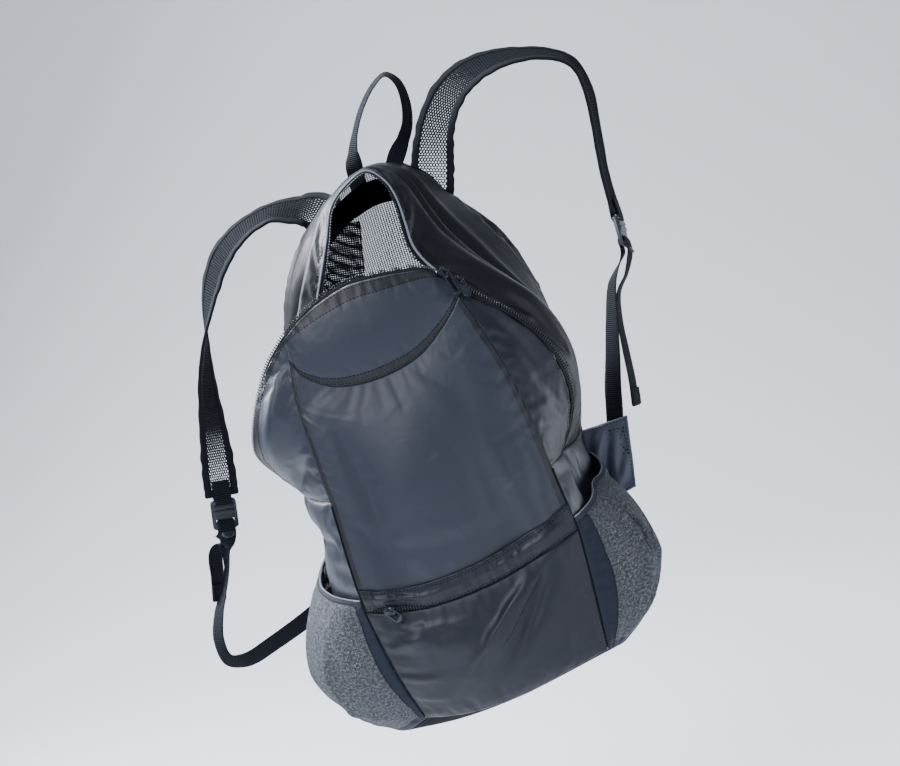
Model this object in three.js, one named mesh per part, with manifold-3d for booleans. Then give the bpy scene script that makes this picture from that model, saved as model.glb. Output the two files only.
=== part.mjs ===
// Packable backpack of thin nylon, hanging from its haul loop with the main zip half open.
// Millimetres, +Z up, front at -Y. The origin is the underside of the haul loop's apex.
import * as THREE from 'three';
import { mergeVertices } from 'three/addons/utils/BufferGeometryUtils.js';
import Module from 'manifold-3d';

// Bag body
const bagHeight = 452;
const bagWidth = 236;
const bagDepth = 142;
const clothThickness = 1.2;
const netThickness = 1;
const seamGap = 0.6;
const layerGap = 0.3;
const overlayGap = 0.9;
const tapeGap = 0.8;
const frontBulge = 11;
const bottomSag = 2;

// Zips
const zipTapeWidth = 9;
const zipTapeReach = 3.5;
const zipThickness = 1.4;
const pocketZipWidth = 3.4;
const sliderLength = 9;
const sliderWidth = 7;
const sliderThickness = 2.6;
const bridgeLength = 6;
const bridgeWidth = 1.6;
const bridgeHeight = 4;
const bridgeWall = 1;
const pullWidth = 8;
const pullThickness = 1.2;
const pullWall = 1.2;
const mainPullLength = 24;
const secondPullLength = 17;
const pocketPullLength = 12;
const secondPullEye = 5;
const mainPullTurn = 40;
const pocketPullTurn = 38;
const sliderClearance = 0.9;
const sliderSpacing = 4.5;
const pocketSliderPlace = 0.125;
const pocketSliderReach = 0.05;

// Front pocket and side pockets
const pocketBulge = 7;
const bindingWidth = 5;
const sidePocketBulgeRight = 42;
const sidePocketBulgeLeft = 42;

// Straps and webbing
const strapWidth = 38;
const strapTaper = 0.8;
const strapThickness = 2.4;
const strapBindingWidth = 4.5;
const strapBindingThickness = 3;
const webbingWidth = 15;
const webbingThickness = 1.4;
const tailFold = 14;
const loopLeg = 13;
const webbingLead = 4;

// Ladder-lock buckles
const buckleWidth = 23;
const buckleLength = 26;
const buckleThickness = 3.4;
const buckleBar = 3;
const buckleSide = 3;
const buckleToStrap = 3.5;

// Grid cells along each shared run of the body
const acrossCells = 14;
const lowCells = 7;
const upperCells = 9;
const flapCells = 4;
const rearCells = 8;
const strapStep = 13;
const webbingStep = 9;
const flatTolerance = 0.02;
const weldTolerance = 0.02;
const foldFade = 5;
const leastSpread = 0.5;

// Corners where seams meet: x is a share of half the width, depth one of the depth in front of the
// back panel and z one of the height
const corners = {
  frontFootLeft: { x: -0.644, depth: 0.887, z: 0.031 },
  frontFootRight: { x: 0.678, depth: 0.915, z: 0.062 },
  frontWaistLeft: { x: -0.822, depth: 0.986, z: 0.46 },
  frontWaistRight: { x: 0.678, depth: 0.979, z: 0.414 },
  yokeLeft: { x: -0.814, depth: 0.923, z: 0.719 },
  yokeRight: { x: 0.415, depth: 0.894, z: 0.746 },
  backFootLeft: { x: -0.763, depth: 0.056, z: 0.013 },
  backFootRight: { x: 0.729, depth: 0.056, z: 0.04 },
  backWaistLeft: { x: -1, depth: 0, z: 0.46 },
  backWaistRight: { x: 0.932, depth: 0, z: 0.414 },
  shoulderLeft: { x: -0.915, depth: 0, z: 0.763 },
  shoulderRight: { x: 0.86, depth: 0, z: 0.776 },
  zipEndLeft: { x: -1.07, depth: 0.465, z: 0.469 },
  zipEndRight: { x: 0.763, depth: 0.493, z: 0.412 },
  flapCorner: { x: -0.822, depth: 0.901, z: 0.757 },
  sliders: { x: 0.339, depth: 0.859, z: 0.788 },
};

// Seam lines in the same shares. Each list runs upwards or from left to right.
const frontLeftLow = [
  corners.frontFootLeft,
  { x: -0.72, depth: 0.965, z: 0.111 },
  { x: -0.78, depth: 0.993, z: 0.199 },
  { x: -0.822, depth: 1, z: 0.294 },
  corners.frontWaistLeft,
];
const frontLeftUpper = [
  corners.frontWaistLeft,
  { x: -0.839, depth: 0.972, z: 0.56 },
  { x: -0.847, depth: 0.951, z: 0.648 },
  corners.yokeLeft,
];
const frontRightLow = [
  corners.frontFootRight,
  { x: 0.695, depth: 0.972, z: 0.124 },
  { x: 0.712, depth: 0.993, z: 0.204 },
  { x: 0.72, depth: 0.993, z: 0.296 },
  corners.frontWaistRight,
];
const frontRightUpper = [
  corners.frontWaistRight,
  { x: 0.644, depth: 0.965, z: 0.498 },
  { x: 0.576, depth: 0.944, z: 0.608 },
  { x: 0.475, depth: 0.915, z: 0.697 },
  corners.yokeRight,
];
const yokeSeam = [
  corners.yokeLeft,
  { x: -0.746, depth: 0.937, z: 0.686 },
  { x: -0.593, depth: 0.951, z: 0.659 },
  { x: -0.407, depth: 0.958, z: 0.648 },
  { x: -0.178, depth: 0.958, z: 0.65 },
  { x: 0.051, depth: 0.951, z: 0.666 },
  { x: 0.22, depth: 0.937, z: 0.695 },
  { x: 0.339, depth: 0.915, z: 0.723 },
  corners.yokeRight,
];
const backLeftLow = [
  corners.backFootLeft,
  { x: -0.873, depth: 0.014, z: 0.1 },
  { x: -0.932, depth: 0, z: 0.199 },
  { x: -0.966, depth: 0, z: 0.294 },
  corners.backWaistLeft,
];
const backLeftUpper = [
  corners.backWaistLeft,
  { x: -1, depth: 0, z: 0.575 },
  { x: -0.983, depth: 0, z: 0.675 },
  corners.shoulderLeft,
];
const backTop = [
  corners.shoulderLeft,
  { x: -0.805, depth: 0, z: 0.836 },
  { x: -0.593, depth: 0, z: 0.915 },
  { x: -0.322, depth: 0, z: 0.975 },
  { x: -0.06, depth: 0, z: 1.006 },
  { x: 0.14, depth: 0, z: 1.004 },
  { x: 0.356, depth: 0, z: 0.972 },
  { x: 0.5, depth: 0, z: 0.918 },
  { x: 0.68, depth: 0, z: 0.862 },
  { x: 0.78, depth: 0, z: 0.824 },
  corners.shoulderRight,
];
const backRightLow = [
  corners.backFootRight,
  { x: 0.814, depth: 0.014, z: 0.124 },
  { x: 0.856, depth: 0, z: 0.21 },
  { x: 0.89, depth: 0, z: 0.296 },
  corners.backWaistRight,
];
const backRightUpper = [
  corners.backWaistRight,
  { x: 0.958, depth: 0, z: 0.498 },
  { x: 0.966, depth: 0, z: 0.608 },
  { x: 0.93, depth: 0, z: 0.7 },
  corners.shoulderRight,
];

// Both edges of the main zip, from its left end to the sliders, and the closed part after them
const flapEdgeLeft = [
  corners.zipEndLeft,
  { x: -1.19, depth: 0.545, z: 0.515 },
  { x: -1.263, depth: 0.655, z: 0.556 },
  { x: -1.263, depth: 0.718, z: 0.58 },
  { x: -1.22, depth: 0.775, z: 0.617 },
  { x: -1.119, depth: 0.831, z: 0.668 },
  { x: -0.983, depth: 0.873, z: 0.717 },
  corners.flapCorner,
];
const flapEdgeTop = [
  corners.flapCorner,
  { x: -0.661, depth: 0.93, z: 0.785 },
  { x: -0.492, depth: 0.944, z: 0.805 },
  { x: -0.297, depth: 0.944, z: 0.819 },
  { x: -0.127, depth: 0.944, z: 0.819 },
  { x: 0.076, depth: 0.93, z: 0.814 },
  { x: 0.246, depth: 0.915, z: 0.805 },
  corners.sliders,
];
const hoodEdge = [
  corners.zipEndLeft,
  { x: -0.99, depth: 0.47, z: 0.54 },
  { x: -0.87, depth: 0.52, z: 0.62 },
  { x: -0.72, depth: 0.59, z: 0.72 },
  { x: -0.551, depth: 0.634, z: 0.805 },
  { x: -0.449, depth: 0.676, z: 0.856 },
  { x: -0.356, depth: 0.704, z: 0.905 },
  { x: -0.254, depth: 0.704, z: 0.96 },
  { x: -0.102, depth: 0.662, z: 0.991 },
  { x: 0.034, depth: 0.648, z: 1.002 },
  { x: 0.144, depth: 0.662, z: 0.973 },
  { x: 0.186, depth: 0.704, z: 0.936 },
  { x: 0.195, depth: 0.746, z: 0.898 },
  { x: 0.203, depth: 0.789, z: 0.852 },
  { x: 0.254, depth: 0.817, z: 0.819 },
  corners.sliders,
];
const closedZip = [
  corners.zipEndRight,
  { x: 0.881, depth: 0.577, z: 0.465 },
  { x: 0.941, depth: 0.634, z: 0.509 },
  { x: 0.932, depth: 0.69, z: 0.575 },
  { x: 0.856, depth: 0.746, z: 0.633 },
  { x: 0.703, depth: 0.803, z: 0.69 },
  { x: 0.542, depth: 0.845, z: 0.732 },
  corners.sliders,
];

// Edges of the bottom panel, the side ones from the back to the front
const baseFront = [
  corners.frontFootLeft,
  { x: -0.347, depth: 0.901, z: 0.024 },
  { x: 0.025, depth: 0.908, z: 0.031 },
  { x: 0.407, depth: 0.908, z: 0.05 },
  corners.frontFootRight,
];
const baseBack = [
  corners.backFootLeft,
  { x: -0.3, depth: 0.056, z: 0.008 },
  { x: 0.3, depth: 0.056, z: 0.02 },
  corners.backFootRight,
];
const baseLeft = [
  corners.backFootLeft,
  { x: -0.86, depth: 0.32, z: -0.004 },
  { x: -0.84, depth: 0.62, z: -0.003 },
  corners.frontFootLeft,
];
const baseRight = [
  corners.backFootRight,
  { x: 0.8, depth: 0.32, z: 0.036 },
  { x: 0.79, depth: 0.62, z: 0.044 },
  corners.frontFootRight,
];

// Middles of the short edges between the zip's ends and the seams
const footMiddles = {
  leftGusset: { x: -0.98, depth: 0.72, z: 0.464 },
  leftRear: { x: -1.07, depth: 0.24, z: 0.465 },
  rightGusset: { x: 0.75, depth: 0.75, z: 0.415 },
  rightRear: { x: 0.88, depth: 0.25, z: 0.412 },
};

// Folds: u and v are the middle of a ridge as shares of its panel, along and wide its half sizes,
// turn its direction in degrees and rise its height as a share of the bag's depth
const folds = {
  front_panel: [
    { u: 0.82, v: 0.42, along: 0.3, wide: 0.06, turn: 112, rise: 0.03 },
    { u: 0.2, v: 0.5, along: 0.28, wide: 0.08, turn: 80, rise: -0.025 },
    { u: 0.1, v: 0.3, along: 0.16, wide: 0.05, turn: 120, rise: 0.03 },
  ],
  front_yoke: [{ u: 0.45, v: 0.5, along: 0.35, wide: 0.3, turn: 0, rise: 0.02 }],
  left_gusset: [
    { u: 0.5, v: 0.55, along: 0.3, wide: 0.22, turn: 70, rise: 0.07 },
    { u: 0.55, v: 0.2, along: 0.25, wide: 0.15, turn: 20, rise: -0.05 },
  ],
  right_gusset: [{ u: 0.5, v: 0.5, along: 0.4, wide: 0.25, turn: 80, rise: -0.03 }],
  hood: [
    { u: 0.8, v: 0.3, along: 0.16, wide: 0.14, turn: 10, rise: 0.1 },
    { u: 0.7, v: 0.45, along: 0.14, wide: 0.12, turn: 20, rise: -0.07 },
    { u: 0.62, v: 0.4, along: 0.05, wide: 0.3, turn: 90, rise: 0.05 },
    { u: 0.93, v: 0.55, along: 0.06, wide: 0.4, turn: 90, rise: 0.05 },
    { u: 0.32, v: 0.4, along: 0.06, wide: 0.35, turn: 80, rise: -0.05 },
    { u: 0.14, v: 0.5, along: 0.08, wide: 0.3, turn: 60, rise: 0.04 },
  ],
  left_side_panel: [{ u: 0.6, v: 0.82, along: 0.3, wide: 0.12, turn: 20, rise: -0.05 }],
  right_side_panel: [{ u: 0.4, v: 0.85, along: 0.3, wide: 0.12, turn: 160, rise: -0.04 }],
  back_panel: [],
  bottom_panel: [],
};

// Front pocket: heights of its lines on the front panel at the left and right seams, as shares of v,
// its sides and foot as shares of the panel, and how full it is at its foot and how square
const pocketTop = { left: 0.232, right: 0.285 };
const pocketBand = { left: 0.275, right: 0.348 };
const pocketSides = { uStart: 0.012, uEnd: 0.988 };
const pocketZipSides = { uStart: 0.03, uEnd: 0.97 };
const panelFoot = 0.012;
const pocketFull = { foot: 0.15, squareness: 0.7 };
const pocketFolds = [
  { u: 0.62, v: 0.62, along: 0.4, wide: 0.07, turn: 52, rise: 0.05 },
  { u: 0.28, v: 0.7, along: 0.3, wide: 0.12, turn: 150, rise: 0.03 },
];

// Band inside the back panel, as shares of the panel
const anchorBand = { uStart: 0.3, uEnd: 0.72, bottom: 0.915, top: 0.972 };

// Side pockets: lip heights as shares of the side panel, at the back and front seams. Their swell is
// full at a share of their height, is drawn in towards the lip and rounded towards the seams.
const sideLips = {
  left: { back: 0.74, front: 0.56, drawIn: 0.55 },
  right: { back: 0.86, front: 0.69, drawIn: 0.42 },
};
const sidePocketSides = { uStart: 0.015, uEnd: 0.985 };
const sidePocketSwell = { fullRate: 0.9, drawStart: 0.5, drawCurve: 1.6, roundness: 0.75 };

// Straps, haul loop and webbing, each row with the turn of its face away from the front in degrees
const strapRight = [
  { x: 0.36, seat: 'panel', z: 0.905 },
  { x: 0.4, seat: 'panel', z: 0.94 },
  { x: 0.44, depth: -0.028, z: 0.972, turn: 4 },
  { x: 0.492, depth: -0.045, z: 1.012, turn: 20 },
  { x: 0.568, depth: -0.067, z: 1.054, turn: 30 },
  { x: 0.708, depth: -0.1, z: 1.098, turn: 36 },
  { x: 0.88, depth: -0.13, z: 1.123, turn: 46 },
  { x: 1.093, depth: -0.165, z: 1.132, turn: 60 },
  { x: 1.312, depth: -0.211, z: 1.126, turn: 71 },
  { x: 1.506, depth: -0.268, z: 1.109, turn: 75 },
  { x: 1.634, depth: -0.31, z: 1.081, turn: 75 },
  { x: 1.68, depth: -0.322, z: 1.03, turn: 75 },
  { x: 1.66, depth: -0.305, z: 0.955, turn: 77 },
  { x: 1.624, depth: -0.265, z: 0.871, turn: 77 },
  { x: 1.617, depth: -0.2, z: 0.786, turn: 75 },
];
const strapLeft = [
  { x: -0.27, seat: 'panel', z: 0.89 },
  { x: -0.34, seat: 'panel', z: 0.92 },
  { x: -0.4, depth: -0.04, z: 0.942, turn: -6 },
  { x: -0.49, depth: -0.085, z: 0.961, turn: -34 },
  { x: -0.61, depth: -0.105, z: 0.97, turn: -54 },
  { x: -0.783, depth: -0.12, z: 0.979, turn: -66 },
  { x: -0.965, depth: -0.127, z: 0.97, turn: -64 },
  { x: -1.12, depth: -0.135, z: 0.951, turn: -58 },
  { x: -1.26, depth: -0.143, z: 0.922, turn: -53 },
  { x: -1.383, depth: -0.155, z: 0.878, turn: -57 },
  { x: -1.475, depth: -0.163, z: 0.83, turn: -70 },
  { x: -1.558, depth: -0.169, z: 0.772, turn: -90 },
  { x: -1.626, depth: -0.155, z: 0.705, turn: -106 },
  { x: -1.671, depth: -0.141, z: 0.64, turn: -120 },
  { x: -1.712, depth: -0.125, z: 0.573, turn: -138 },
  { x: -1.742, depth: -0.118, z: 0.528, turn: -153 },
  { x: -1.77, depth: -0.113, z: 0.485, turn: -156 },
];
const haulLoop = [
  { x: -0.11, seat: 'panel', z: 0.955 },
  { x: -0.1, seat: 'panel', z: 1.014 },
  { x: -0.08, depth: -0.036, z: 1.042, turn: 52 },
  { x: -0.028, depth: -0.04, z: 1.074, turn: 68 },
  { x: 0.077, depth: -0.042, z: 1.118, turn: 70 },
  { x: 0.21, depth: -0.042, z: 1.153, turn: 72 },
  { x: 0.304, depth: -0.042, z: 1.164, turn: 73 },
  { x: 0.372, depth: -0.042, z: 1.146, turn: 68 },
  { x: 0.392, depth: -0.04, z: 1.11, turn: 62 },
  { x: 0.36, depth: -0.034, z: 1.066, turn: 56 },
  { x: 0.29, depth: -0.032, z: 1.036, turn: 46 },
  { x: 0.2, seat: 'panel', z: 1.006 },
  { x: 0.1, seat: 'panel', z: 0.955 },
];
const webbingRight = [
  { x: 1.155, seat: 'wing', z: 0.345 },
  { x: 1.17, seat: 'wing', z: 0.4 },
  { x: 1.2, depth: -0.03, z: 0.435, turn: 3 },
  { x: 1.235, depth: -0.04, z: 0.475, turn: 18 },
  { x: 1.29, depth: -0.05, z: 0.524, turn: 32 },
  { x: 1.366, depth: -0.08, z: 0.597, turn: 48 },
  { x: 1.445, depth: -0.125, z: 0.662, turn: 66 },
];
const tailRight = [
  { x: 1.57, depth: -0.2, z: 0.672, turn: 76 },
  { x: 1.475, depth: -0.2, z: 0.64, turn: 74 },
  { x: 1.425, depth: -0.195, z: 0.589, turn: 70 },
  { x: 1.403, depth: -0.19, z: 0.53, turn: 66 },
  { x: 1.385, depth: -0.18, z: 0.471, turn: 64 },
  { x: 1.36, depth: -0.175, z: 0.425, turn: 62 },
];
const webbingLeft = [
  { x: -1.06, seat: 'wing', z: 0.258 },
  { x: -1.2, seat: 'wing', z: 0.238 },
  { x: -1.377, depth: -0.035, z: 0.215, turn: 8 },
  { x: -1.709, depth: -0.063, z: 0.182, turn: 16 },
  { x: -1.966, depth: -0.092, z: 0.162, turn: 22 },
  { x: -2.095, depth: -0.099, z: 0.171, turn: 30 },
  { x: -2.121, depth: -0.099, z: 0.214, turn: 40 },
  { x: -2.063, depth: -0.099, z: 0.262, turn: 50 },
  { x: -1.969, depth: -0.099, z: 0.306, turn: 66 },
  { x: -1.901, depth: -0.1, z: 0.345, turn: 66 },
  { x: -1.86, depth: -0.1, z: 0.385, turn: 50 },
];
const tailLeft = [
  { x: -1.955, depth: -0.155, z: 0.378, turn: 40 },
  { x: -2, depth: -0.17, z: 0.335, turn: 50 },
  { x: -2.045, depth: -0.175, z: 0.288, turn: 52 },
];

// Bend of a tail's folded end, in steps of the webbing's thickness down it and out of its face
const tailBend = [
  { down: 0.3, out: 0.06 },
  { down: 0.5, out: 0.5 },
  { down: 0.3, out: 0.94 },
  { down: -0.2, out: 1 },
];

// Wing tabs: corners in order round each tab, on the back panel's face at its side seams
const wingRight = [
  { x: 0.87, z: 0.27 },
  { x: 1.15, z: 0.3 },
  { x: 1.25, z: 0.415 },
  { x: 0.88, z: 0.42 },
];
const wingLeft = [
  { x: -0.93, z: 0.42 },
  { x: -1.16, z: 0.335 },
  { x: -1.2, z: 0.235 },
  { x: -0.9, z: 0.25 },
];

// Materials, with the colours that each piece shows
const materials = {
  nylon: new THREE.MeshStandardMaterial({ color: 0x3d4452, roughness: 0.42, metalness: 0 }),
  pocketNet: new THREE.MeshStandardMaterial({ color: 0x5f666f, roughness: 0.6, metalness: 0 }),
  backNet: new THREE.MeshStandardMaterial({ color: 0x7c858f, roughness: 0.7, metalness: 0 }),
  strapNet: new THREE.MeshStandardMaterial({ color: 0x2c333d, roughness: 0.7, metalness: 0 }),
  webbing: new THREE.MeshStandardMaterial({ color: 0x11161f, roughness: 0.6, metalness: 0 }),
  binding: new THREE.MeshStandardMaterial({ color: 0x2a303a, roughness: 0.5, metalness: 0 }),
  zip: new THREE.MeshStandardMaterial({ color: 0x1a1f28, roughness: 0.5, metalness: 0 }),
  plastic: new THREE.MeshStandardMaterial({ color: 0x1c2027, roughness: 0.35, metalness: 0 }),
  sliderMetal: new THREE.MeshStandardMaterial({ color: 0x23272e, roughness: 0.35, metalness: 0.8 }),
};

const viewer = new THREE.Vector3(0, -1, 0);
const backpack = new THREE.Group();

function place(row) {
  return new THREE.Vector3(row.x * bagWidth / 2, -row.depth * bagDepth, row.z * bagHeight);
}

function addMesh(name, geometry, material) {
  const mesh = new THREE.Mesh(geometry, material);
  mesh.name = name;
  backpack.add(mesh);
  return mesh;
}

// Points at even distances along a table's curve
function spaced(rows, cells) {
  return new THREE.CatmullRomCurve3(rows.map(place), false, 'centripetal').getSpacedPoints(cells);
}

// Two runs that follow each other, with their shared point once
function joined(...runs) {
  return runs.reduce((all, run) => all.concat(run.slice(1)));
}

function reversed(run) {
  return run.slice().reverse();
}

// Grid of points between four edges: bottom and top run along u, left and right along v
function coonsGrid(bottom, top, left, right) {
  const columns = bottom.length - 1;
  const rows = left.length - 1;
  return left.map((leftPoint, j) => bottom.map((bottomPoint, i) => {
    const u = i / columns;
    const v = j / rows;
    const point = new THREE.Vector3();
    point.addScaledVector(bottomPoint, 1 - v).addScaledVector(top[i], v);
    point.addScaledVector(leftPoint, 1 - u).addScaledVector(right[j], u);
    point.addScaledVector(bottom[0], -(1 - u) * (1 - v));
    point.addScaledVector(bottom[columns], -u * (1 - v));
    point.addScaledVector(top[0], -(1 - u) * v);
    point.addScaledVector(top[columns], -u * v);
    return point;
  }));
}

// Outward directions of a grid by itself
function gridNormals(grid) {
  return grid.map((row, j) => row.map((point, i) => {
    const alongU = row[Math.min(i + 1, row.length - 1)].clone().sub(row[Math.max(i - 1, 0)]);
    const above = grid[Math.min(j + 1, grid.length - 1)][i];
    const below = grid[Math.max(j - 1, 0)][i];
    return alongU.cross(above.clone().sub(below)).normalize();
  }));
}

// Height of a panel's ridges at one place, nought on its edges
function foldHeight(rows, u, v) {
  const fade = (share) => Math.min(1, foldFade * Math.min(share, 1 - share));
  const heights = rows.map((fold) => {
    const angle = THREE.MathUtils.degToRad(fold.turn);
    const along = (u - fold.u) * Math.cos(angle) + (v - fold.v) * Math.sin(angle);
    const wide = (v - fold.v) * Math.cos(angle) - (u - fold.u) * Math.sin(angle);
    return fold.rise * Math.exp(-((along / fold.along) ** 2) - (wide / fold.wide) ** 2);
  });
  return fade(u) * fade(v) * bagDepth * heights.reduce((sum, height) => sum + height, 0);
}

// Moves a grid outwards by a height for each share of u and v
function raised(grid, height) {
  const normals = gridNormals(grid);
  return grid.map((row, j) => row.map((point, i) => {
    const rise = height(i / (row.length - 1), j / (grid.length - 1));
    return point.clone().addScaledVector(normals[j][i], rise);
  }));
}

// One outward direction for each place where panels meet, so that their walls are mitred
function sharedNormals(grids) {
  const sums = new Map();
  const key = (point) => point.toArray().map((value) => Math.round(value / weldTolerance)).join(' ');
  const add = (point, normal) => {
    const sum = sums.get(key(point)) ?? new THREE.Vector3();
    sums.set(key(point), sum.add(normal));
  };
  for (const grid of grids) {
    for (let j = 0; j < grid.length - 1; j += 1) {
      for (let i = 0; i < grid[j].length - 1; i += 1) {
        const corners = [grid[j][i], grid[j][i + 1], grid[j + 1][i + 1], grid[j + 1][i]];
        const diagonal = corners[2].clone().sub(corners[0]);
        const normal = diagonal.cross(corners[3].clone().sub(corners[1]));
        normal.normalize();
        corners.forEach((corner) => add(corner, normal));
      }
    }
  }
  const shared = (point) => sums.get(key(point)).clone().normalize();
  return grids.map((grid) => grid.map((row) => row.map(shared)));
}

// A grid's points with its edge drawn in by an inset
function insetGrid(grid, inset) {
  const lastRow = grid.length - 1;
  return grid.map((row, j) => row.map((point, i) => {
    const lastColumn = row.length - 1;
    const innerI = Math.min(Math.max(i, 1), lastColumn - 1);
    const innerJ = Math.min(Math.max(j, 1), lastRow - 1);
    const inwards = grid[innerJ][innerI].clone().sub(point);
    if (inwards.length() === 0 || inset === 0) {
      return point;
    }
    const corner = innerI !== i && innerJ !== j;
    return point.clone().addScaledVector(inwards.normalize(), corner ? inset * Math.SQRT2 : inset);
  }));
}

// Closed wall of one thickness round a grid
function wallGeometry(grid, normals, thickness) {
  const columns = grid[0].length;
  const rows = grid.length;
  const layer = columns * rows;
  const positions = [];
  for (const side of [0.5, -0.5]) {
    grid.forEach((row, j) => row.forEach((point, i) => {
      positions.push(...point.clone().addScaledVector(normals[j][i], side * thickness).toArray());
    }));
  }
  const indices = [];
  const quad = (a, b, c, d) => indices.push(a, b, c, a, c, d);
  for (let j = 0; j < rows - 1; j += 1) {
    for (let i = 0; i < columns - 1; i += 1) {
      const a = j * columns + i;
      quad(a, a + 1, a + columns + 1, a + columns);
      quad(a + layer, a + columns + layer, a + columns + 1 + layer, a + 1 + layer);
    }
  }
  const rim = [];
  for (let i = 0; i < columns - 1; i += 1) rim.push(i);
  for (let j = 0; j < rows - 1; j += 1) rim.push(j * columns + columns - 1);
  for (let i = columns - 1; i > 0; i -= 1) rim.push((rows - 1) * columns + i);
  for (let j = rows - 1; j > 0; j -= 1) rim.push(j * columns);
  rim.forEach((a, index) => {
    const b = rim[(index + 1) % rim.length];
    quad(a, a + layer, b + layer, b);
  });
  const geometry = new THREE.BufferGeometry();
  geometry.setAttribute('position', new THREE.Float32BufferAttribute(positions, 3));
  geometry.setIndex(indices);
  geometry.computeVertexNormals();
  return geometry;
}

// Point and outward direction on a panel at shares u and v
function onPanel(panel, u, v) {
  const columns = panel.grid[0].length - 1;
  const rows = panel.grid.length - 1;
  const i = Math.min(Math.floor(u * columns), columns - 1);
  const j = Math.min(Math.floor(v * rows), rows - 1);
  const blend = (field) => {
    const low = field[j][i].clone().lerp(field[j][i + 1], u * columns - i);
    const high = field[j + 1][i].clone().lerp(field[j + 1][i + 1], u * columns - i);
    return low.lerp(high, v * rows - j);
  };
  return { point: blend(panel.grid), normal: blend(panel.facing).normalize() };
}

// Grid laid over a panel between two heights, lifted off it
function overlayGrid(panel, columns, rows, range, lift) {
  const grid = [];
  for (let j = 0; j <= rows; j += 1) {
    const row = [];
    for (let i = 0; i <= columns; i += 1) {
      const u = THREE.MathUtils.lerp(range.uStart, range.uEnd, i / columns);
      const v = THREE.MathUtils.lerp(range.bottom(u), range.top(u), j / rows);
      const spot = onPanel(panel, u, v);
      row.push(spot.point.addScaledVector(spot.normal, lift(i / columns, j / rows)));
    }
    grid.push(row);
  }
  return grid;
}

// Strip along an edge, from one distance beyond it to another, sunk under the cloth by a depth
function edgeStrip(edge, start, end, sink, thickness) {
  const line = (reach) => edge.map((spot) => {
    const point = spot.point.clone().addScaledVector(spot.out, reach);
    return point.addScaledVector(spot.normal, -sink);
  });
  const grid = [line(start), line(end)];
  const normals = grid.map(() => edge.map((spot) => spot.normal));
  return wallGeometry(grid, normals, thickness);
}

// Edge of a panel as spots, in the order that puts its outer side on the left hand
function panelEdge(panel, side) {
  const { grid, normals } = panel;
  const lastRow = grid.length - 1;
  const lastColumn = grid[0].length - 1;
  const spot = (j, i, innerJ, innerI) => ({
    point: grid[j][i],
    normal: normals[j][i],
    out: grid[j][i].clone().sub(grid[innerJ][innerI]).normalize(),
  });
  if (side === 'top') return grid[lastRow].map((point, i) => spot(lastRow, i, lastRow - 1, i));
  if (side === 'bottom') return reversed(grid[0].map((point, i) => spot(0, i, 1, i)));
  if (side === 'left') return grid.map((row, j) => spot(j, 0, j, 1));
  return reversed(grid.map((row, j) => spot(j, lastColumn, j, lastColumn - 1)));
}

// Direction across a ribbon for its direction of travel and its turn away from the front
function acrossFor(tangent, turn) {
  const flat = tangent.clone().cross(viewer).normalize();
  const deep = flat.clone().cross(tangent).normalize();
  const angle = THREE.MathUtils.degToRad(turn);
  return flat.multiplyScalar(Math.cos(angle)).addScaledVector(deep, Math.sin(angle));
}

// Frames along a ribbon: its middle, the direction across it and the one out of its face
function ribbonFrames(rows, stepLength, floor = -Infinity) {
  const curve = new THREE.CatmullRomCurve3(rows.map((row) => row.point), false, 'centripetal');
  const last = rows.length - 1;
  const acrossAt = rows.map((row, index) => (
    row.across ?? acrossFor(curve.getTangent(index / last), row.turn)
  ));
  const shares = [];
  for (let index = 0; index < last; index += 1) {
    const steps = Math.ceil(rows[index].point.distanceTo(rows[index + 1].point) / stepLength);
    for (let step = 0; step < steps; step += 1) {
      shares.push((index + step / steps) / last);
    }
  }
  shares.push(1);
  return shares.map((share) => {
    const index = Math.min(Math.floor(share * last + 1e-9), last - 1);
    const tangent = curve.getTangent(share);
    const point = curve.getPoint(share);
    if (point.y < floor + flatTolerance) {
      point.y = floor;
      tangent.setY(0).normalize();
    }
    const across = acrossAt[index].clone().lerp(acrossAt[index + 1], share * last - index);
    across.addScaledVector(tangent, -across.dot(tangent)).normalize();
    const normal = across.clone().cross(tangent);
    return { point, share, tangent, across, normal };
  });
}

// Flat ribbon between two distances from its middle line
function ribbonGeometry(frames, near, far, thickness) {
  const grid = frames.map((frame) => [near, far].map((reach) => {
    const distance = typeof reach === 'function' ? reach(frame.share) : reach;
    return frame.point.clone().addScaledVector(frame.across, distance);
  }));
  const normals = frames.map((frame) => [frame.normal, frame.normal]);
  return wallGeometry(grid, normals, thickness);
}

// Middle of a ribbon that lies flat on the back panel's face, or on a wing tab's
function seatHeight(seat, thickness) {
  const face = seat === 'wing' ? 1.5 * clothThickness + layerGap : clothThickness / 2;
  return face + layerGap + thickness / 2;
}

// A table's rows in space: a row with a seat lies flat on the face that the seat names
function placedRows(rows, thickness) {
  return rows.map((row) => {
    const point = place({ depth: 0, ...row });
    if (row.seat) {
      point.y = seatHeight(row.seat, thickness);
    }
    return { point, turn: row.turn ?? 0 };
  });
}

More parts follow.
